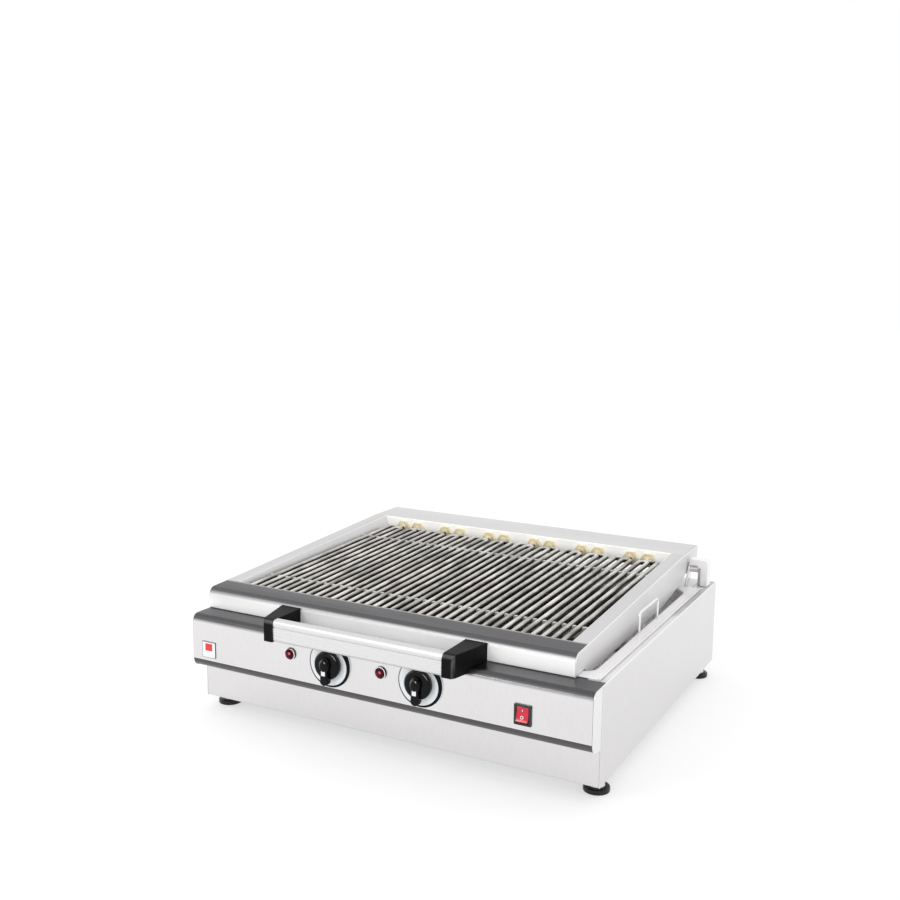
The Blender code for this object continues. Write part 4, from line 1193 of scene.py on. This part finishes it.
def make_hinge(side):
    """One rear corner's hinge: the head's ear, the base's bracket and the pin through them."""
    pivot = (HEAD_PIVOT.y, HEAD_PIVOT.z)
    low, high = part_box(f"hinge_ear_{side}")
    reach = (high.y - low.y) / 2
    outline = [(pivot[0] + reach, high.z), (pivot[0] - reach, high.z)] + arc(pivot, reach, 180, 360, 24)
    ear = extrude(f"ear_{side}", outline, (low.x, high.x), "X")
    cut(ear, hole(0.007, (low.x, *pivot), "X", reach=0.02))
    place(soften(ear, 0.0003, 2), "zinc", "head", f"hinge_ear_{side}")

    low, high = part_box(f"hinge_bracket_{side}")
    outline = [(low.y, low.z)] + arc(pivot, HINGE_CROWN, 150, -45, 24) + [(low.y + 0.0158, low.z)]
    bracket = extrude(f"bracket_{side}", outline, (low.x, high.x), "X")
    cut(bracket, hole(0.0068, (low.x, *pivot), "X", reach=0.02))
    place(soften(bracket, 0.0004, 2), "plate", "base", f"hinge_bracket_{side}")

    low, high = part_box(f"hinge_pin_{side}")
    radius, length = (high.y - low.y) / 2, high.x - low.x
    profile = [(0, 0), (radius - 0.0006, 0), (radius, 0.0006), (radius, length - 0.0008),
               (radius - 0.0008, length), (radius * 0.45, length), (radius * 0.35, length - 0.0006),
               (0, length - 0.0006)]
    pin = lathe(f"pin_{side}", profile, (low.x, *pivot), "X", 40)
    place(pin, "polished", "base", f"hinge_pin_{side}")


def make_elbow():
    """The post at the right rear corner that carries the wiring, with a slot in its front and a dark zinc
    strip in the slot standing in for a dark reflection.
    """
    low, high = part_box("hinge_elbow")
    elbow = extrude("elbow", elbow_outline(low, high), (low.y, high.y), "Y")
    recess_x = high.x - 0.019
    cut(elbow, box("recess", (recess_x - OVER, low.y - OVER, low.z - OVER),
                   (recess_x + 0.0052, low.y + 0.0035, high.z - 0.016)))
    place(soften(elbow, 0.0012, 3, 50), "post", "base", "hinge_elbow")
    # A dark zinc strip standing in for a dark reflection in the slot.
    reflection_strip = box("elbow_reflection_strip", (recess_x + 0.0004, low.y + 0.0022, low.z + 0.0002),
                 (recess_x + 0.0048, low.y + 0.0034, high.z - 0.0166))
    place(soften(reflection_strip, 0.0002, 2), "zinc", "base")


def elbow_outline(low, high):
    """The upside-down L of the hinge elbow, with a broad outer corner."""
    corner, leg, arm = 0.008, 0.019, 0.0125
    inner_x = high.x - leg
    return ([(inner_x, low.z), (high.x, low.z)]
            + arc((high.x - corner, high.z - corner), corner, 0, 90, 8)
            + [(low.x, high.z), (low.x, high.z - arm)]
            + arc((inner_x - 0.002, high.z - arm - 0.002), 0.002, 90, 0, 4))


# -------- elements

def element_middles():
    """The x of each element's middle, from left to right."""
    boxes = [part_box(f"element_{index}") for index in range(1, 7)]
    return [(low.x + high.x) / 2 for low, high in boxes]


ELEMENT_LOW, ELEMENT_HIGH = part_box("element_1")
ROD_FRONT_Y = ELEMENT_LOW.y + ROD_RADIUS + ROD_PITCH / 2
ROD_REAR_Y = FRONT + 0.503
CROSSOVER_Y = FRONT + 0.517
TUBE_END_Y = ELEMENT_HIGH.y


def rod_z(y):
    """Height of the rods' centres, which rise gently to the rear."""
    share = min((y - ROD_FRONT_Y) / (ROD_REAR_Y - ROD_FRONT_Y), 1.0)
    return ROD_FRONT_Z + (ROD_REAR_Z - ROD_FRONT_Z) * share


def element_route(middle):
    """One element's path: out of its left nut, six rods with U-turns, and into its right nut."""
    outer, bend = 2.5 * ROD_PITCH, 0.0062
    lead = [(-NUT_OFFSET, TUBE_END_Y)]
    lead += arc((-NUT_OFFSET - bend, CROSSOVER_Y + bend), bend, 0, -90, 6)
    lead += arc((-outer + bend, CROSSOVER_Y - bend), bend, 90, 180, 6)
    turns = []
    for index in range(5):
        centre_x = (index - 2) * ROD_PITCH
        sweep_end = 360 if index % 2 == 0 else 0
        y = ROD_FRONT_Y if index % 2 == 0 else ROD_REAR_Y
        turns += arc((centre_x, y), ROD_PITCH / 2, 180, sweep_end, 12)
    tail = [(-x, y) for x, y in reversed(lead)]
    points = [(middle + x, y) for x, y in lead + turns + tail]
    filled = []
    for (x, y), (next_x, next_y) in zip(points, points[1:]):
        steps = max(1, round(abs(next_y - y) / 0.06))
        filled += [(x + (next_x - x) * s / steps, y + (next_y - y) * s / steps) for s in range(steps)]
    return [(x, y, rod_z(y)) for x, y in filled + [points[-1]]]


def make_nut(name, x):
    """A chamfered brass nut with its washer and the collar that the tube comes out of."""
    rear = BOX_LOW.y - GAP
    thick = rear - (FRONT + 0.5265)
    across = NUT_FLATS / 2
    corner = across / math.cos(math.radians(30))
    hexagon = arc((x, ROD_REAR_Z), corner, 0, 300, 5)
    nut = extrude(name, hexagon, (rear - thick, rear - 0.0012), "Y")
    chamfer = [(0, -0.0002), (across + 0.0003, -0.0002), (corner + 0.0003, 0.001),
               (corner + 0.0003, thick - 0.0012), (0, thick - 0.0012)]
    boolean(nut, lathe("chamfer", chamfer, (x, rear - thick, ROD_REAR_Z), "Y", 48), "INTERSECT")
    collar = [(0, -0.0018), (0.0062, -0.0018), (0.007, -0.001), (0.007, 0.001), (0, 0.001)]
    unite(nut, lathe("collar", collar, (x, rear - thick, ROD_REAR_Z), "Y", 32))
    washer = [(0, 0), (0.0122, 0), (0.0124, 0.0003), (0.0124, 0.0012), (0, 0.0012)]
    place(smooth(nut, 25), "brass", "head")
    place(lathe(f"{name}_washer", washer, (x, rear - 0.0012, ROD_REAR_Z), "Y", 40), "polished", "head")


def make_elements():
    """Six elements, each one tube with a nut on either end."""
    for index, middle in enumerate(element_middles(), start=1):
        tube = sweep(f"element_tube_{index}", element_route(middle), ROD_RADIUS, 16)
        place(tube, "rod", "head", f"element_{index}")
        for side, sign in SIDES:
            make_nut(f"element_nut_{index}_{side}", middle + sign * NUT_OFFSET)


def make_supports():
    """Two notched bars under the rods, with a rounded tooth standing in every gap."""
    for name in ("front", "rear"):
        low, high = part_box(f"rod_support_{name}")
        y = (low.y + high.y) / 2
        teeth, reach, corner = high.z, ROD_RADIUS + GAP, 0.0016
        top = [(low.x, teeth)]
        for middle in element_middles():
            for rod in range(6):
                x = middle + (rod - 2.5) * ROD_PITCH
                top += arc((x - reach - corner, teeth - corner), corner, 90, 0, 4)
                top += arc((x, rod_z(y)), reach, 180, 360, 8)
                top += arc((x + reach + corner, teeth - corner), corner, 180, 90, 4)
        outline = [(low.x, low.z)] + top + [(high.x, teeth), (high.x, low.z)]
        bar = extrude(f"support_{name}", outline, (low.y, high.y), "Y")
        place(soften(bar, 0.0005, 2, 50), "support", "head", f"rod_support_{name}")


# -------- handle

def make_handle_bar():
    """The drawn aluminium bar, with a groove along its face."""
    low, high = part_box("handle_bar")
    section = (arc((low.y + 0.007, high.z - 0.007), 0.007, 180, 90, 12)
               + arc((high.y - 0.002, high.z - 0.002), 0.002, 90, 0, 4)
               + arc((high.y - 0.002, low.z + 0.002), 0.002, 0, -90, 4)
               + arc((low.y + 0.005, low.z + 0.005), 0.005, -90, -180, 8))
    groove = high.z - 0.0102
    for depth, up in ((0.0, -0.0011), (0.0011, -0.0006), (0.0011, 0.0006), (0.0, 0.0011)):
        section.append((low.y + depth, groove + up))
    bar = extrude("grip_bar", section, (low.x, high.x), "X")
    place(smooth(bar, 40), "aluminium", "head", "handle_bar")


def make_handle_bracket(side, sign):
    """A moulded bracket: rounded over its front, tapered in plan, and notched over the control panel."""
    node = f"handle_bracket_{side}"
    low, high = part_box(node)
    inner, outer = (high.x, low.x) if sign < 0 else (low.x, high.x)
    root, nose = high.y, low.y
    tip = inner + sign * 0.0195
    plan = [(inner, root), (outer, root), (tip, nose + 0.006), (tip - sign * 0.004, nose), (inner, nose)]
    bracket = extrude(f"bracket_arm_{side}", plan, (low.z, high.z), "Z")
    width = (min(inner, outer) - OVER, max(inner, outer) + OVER)
    centre = (nose + BRACKET_RADIUS, high.z - BRACKET_RADIUS)
    crown = [(root + 0.001, low.z - 0.001), (root + 0.001, high.z), (nose + 2 * BRACKET_RADIUS, high.z)]
    crown += arc(centre, BRACKET_RADIUS, 80, 180, 8) + [(nose, low.z - 0.001)]
    boolean(bracket, extrude("crown", crown, width, "X"), "INTERSECT")
    clear = [(root + OVER, BASE_TOP + 0.001)]
    clear += arc((PANEL_FACE + PANEL_RADIUS, BASE_TOP - PANEL_RADIUS), PANEL_RADIUS + 0.001, 90, 180, 12)
    clear += [(PANEL_FACE - 0.001, low.z - OVER), (root + OVER, low.z - OVER)]
    cut(bracket, extrude("clearance", clear, width, "X"))
    place(soften(bracket, 0.0022, 4, 30), "bracket", "head", node)


def carry_over():
    """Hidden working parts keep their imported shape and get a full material."""
    for node, look in (("heat_shield", "zinc"), ("regulator_left", "body_plastic"),
                       ("regulator_right", "body_plastic"), ("spindle_left", "polished"),
                       ("spindle_right", "polished"), ("terminal_block", "ceramic")):
        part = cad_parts[node]
        part.data.materials.clear()
        part.data.materials.append(MATERIALS[look])


# -------- studio

def area_light(name, place_at, target, size, power):
    """A large soft light aimed at a point."""
    data = bpy.data.lights.new(name, "AREA")
    data.shape = "RECTANGLE"
    data.size, data.size_y = size
    data.energy = power
    light = bpy.data.objects.new(name, data)
    light.location = place_at
    light.visible_camera = False
    light.rotation_euler = (Vector(target) - Vector(place_at)).to_track_quat("-Z", "Y").to_euler()
    bpy.context.scene.collection.objects.link(light)
    return light


def make_studio():
    """A pale floor under a white surround, two soft lights, and two small ones that draw the highlights."""
    bm = bmesh.new()
    bmesh.ops.create_grid(bm, x_segments=8, y_segments=8, size=14.0)
    floor = new_mesh_object("floor", bm)
    n = Nodes("floor_paper")
    fibre = n.noise(60.0, detail=3.0)
    paper = n.scaled((0.5, 0.5, 0.5), n.spread(fibre, 0.995, 1.005))
    floor.data.materials.append(n.finish(paper, 0.9, 0.0, **{"Emission Color": (1.0, 1.0, 1.0),
                                                             "Emission Strength": 0.52}))
    world = bpy.data.worlds.new("white_surround")
    world.use_nodes = True
    world.node_tree.nodes["Background"].inputs["Color"].default_value = (1.0, 1.0, 1.0, 1.0)
    world.node_tree.nodes["Background"].inputs["Strength"].default_value = 1.0
    bpy.context.scene.world = world
    bpy.context.scene.view_settings.view_transform = "Standard"
    area_light("key", (-1.3, -1.9, 1.9), (0.0, 0.0, 0.15), (1.2, 0.9), 5.5)
    area_light("fill", (1.8, -0.6, 2.0), (0.0, 0.0, 0.15), (1.6, 1.2), 1.5)
    area_light("glint", (-0.5, -1.72, 0.84), (0.1, -0.3, 0.13), (0.28, 0.28), 3.0)
    area_light("left strip", (-1.6, -0.35, 0.25), (0.0, -0.3, 0.13), (0.22, 0.5), 1.5)


def make_camera():
    """The photograph's viewpoint: a little above the grill and to its right."""
    azimuth, elevation, roll = (math.radians(a) for a in (CAMERA_AZIMUTH, CAMERA_ELEVATION, CAMERA_ROLL))
    back = Vector((math.sin(azimuth) * math.cos(elevation), -math.cos(azimuth) * math.cos(elevation),
                   math.sin(elevation)))
    right = (-back).cross(Vector((0, 0, 1))).normalized()
    up = right.cross(-back)
    across = right * math.cos(roll) + up * math.sin(roll)
    over = up * math.cos(roll) - right * math.sin(roll)
    data = bpy.data.cameras.new("photo_view")
    data.sensor_width = 36.0
    data.lens = CAMERA_LENS
    camera = bpy.data.objects.new("photo_view", data)
    turn = Matrix((across, over, back)).transposed().to_4x4()
    camera.matrix_world = Matrix.Translation(CAMERA_PLACE) @ turn
    bpy.context.scene.collection.objects.link(camera)
    bpy.context.scene.camera = camera


make_control_panel()
make_side_panels()
make_front_and_rear()
make_floor_pan()
make_water_tray()
make_tray_handle()
make_feet()
make_inlet()
for which, _ in SIDES:
    make_dial(which)
    make_knob(which)
    make_lamp(which)
    make_rail(which)
make_switch()
make_badge()
make_nose()
make_rear_box()
for which, _ in SIDES:
    make_hinge(which)
make_elbow()
make_elements()
make_supports()
make_handle_bar()
for which, way in SIDES:
    make_handle_bracket(which, way)
carry_over()
make_studio()
make_camera()
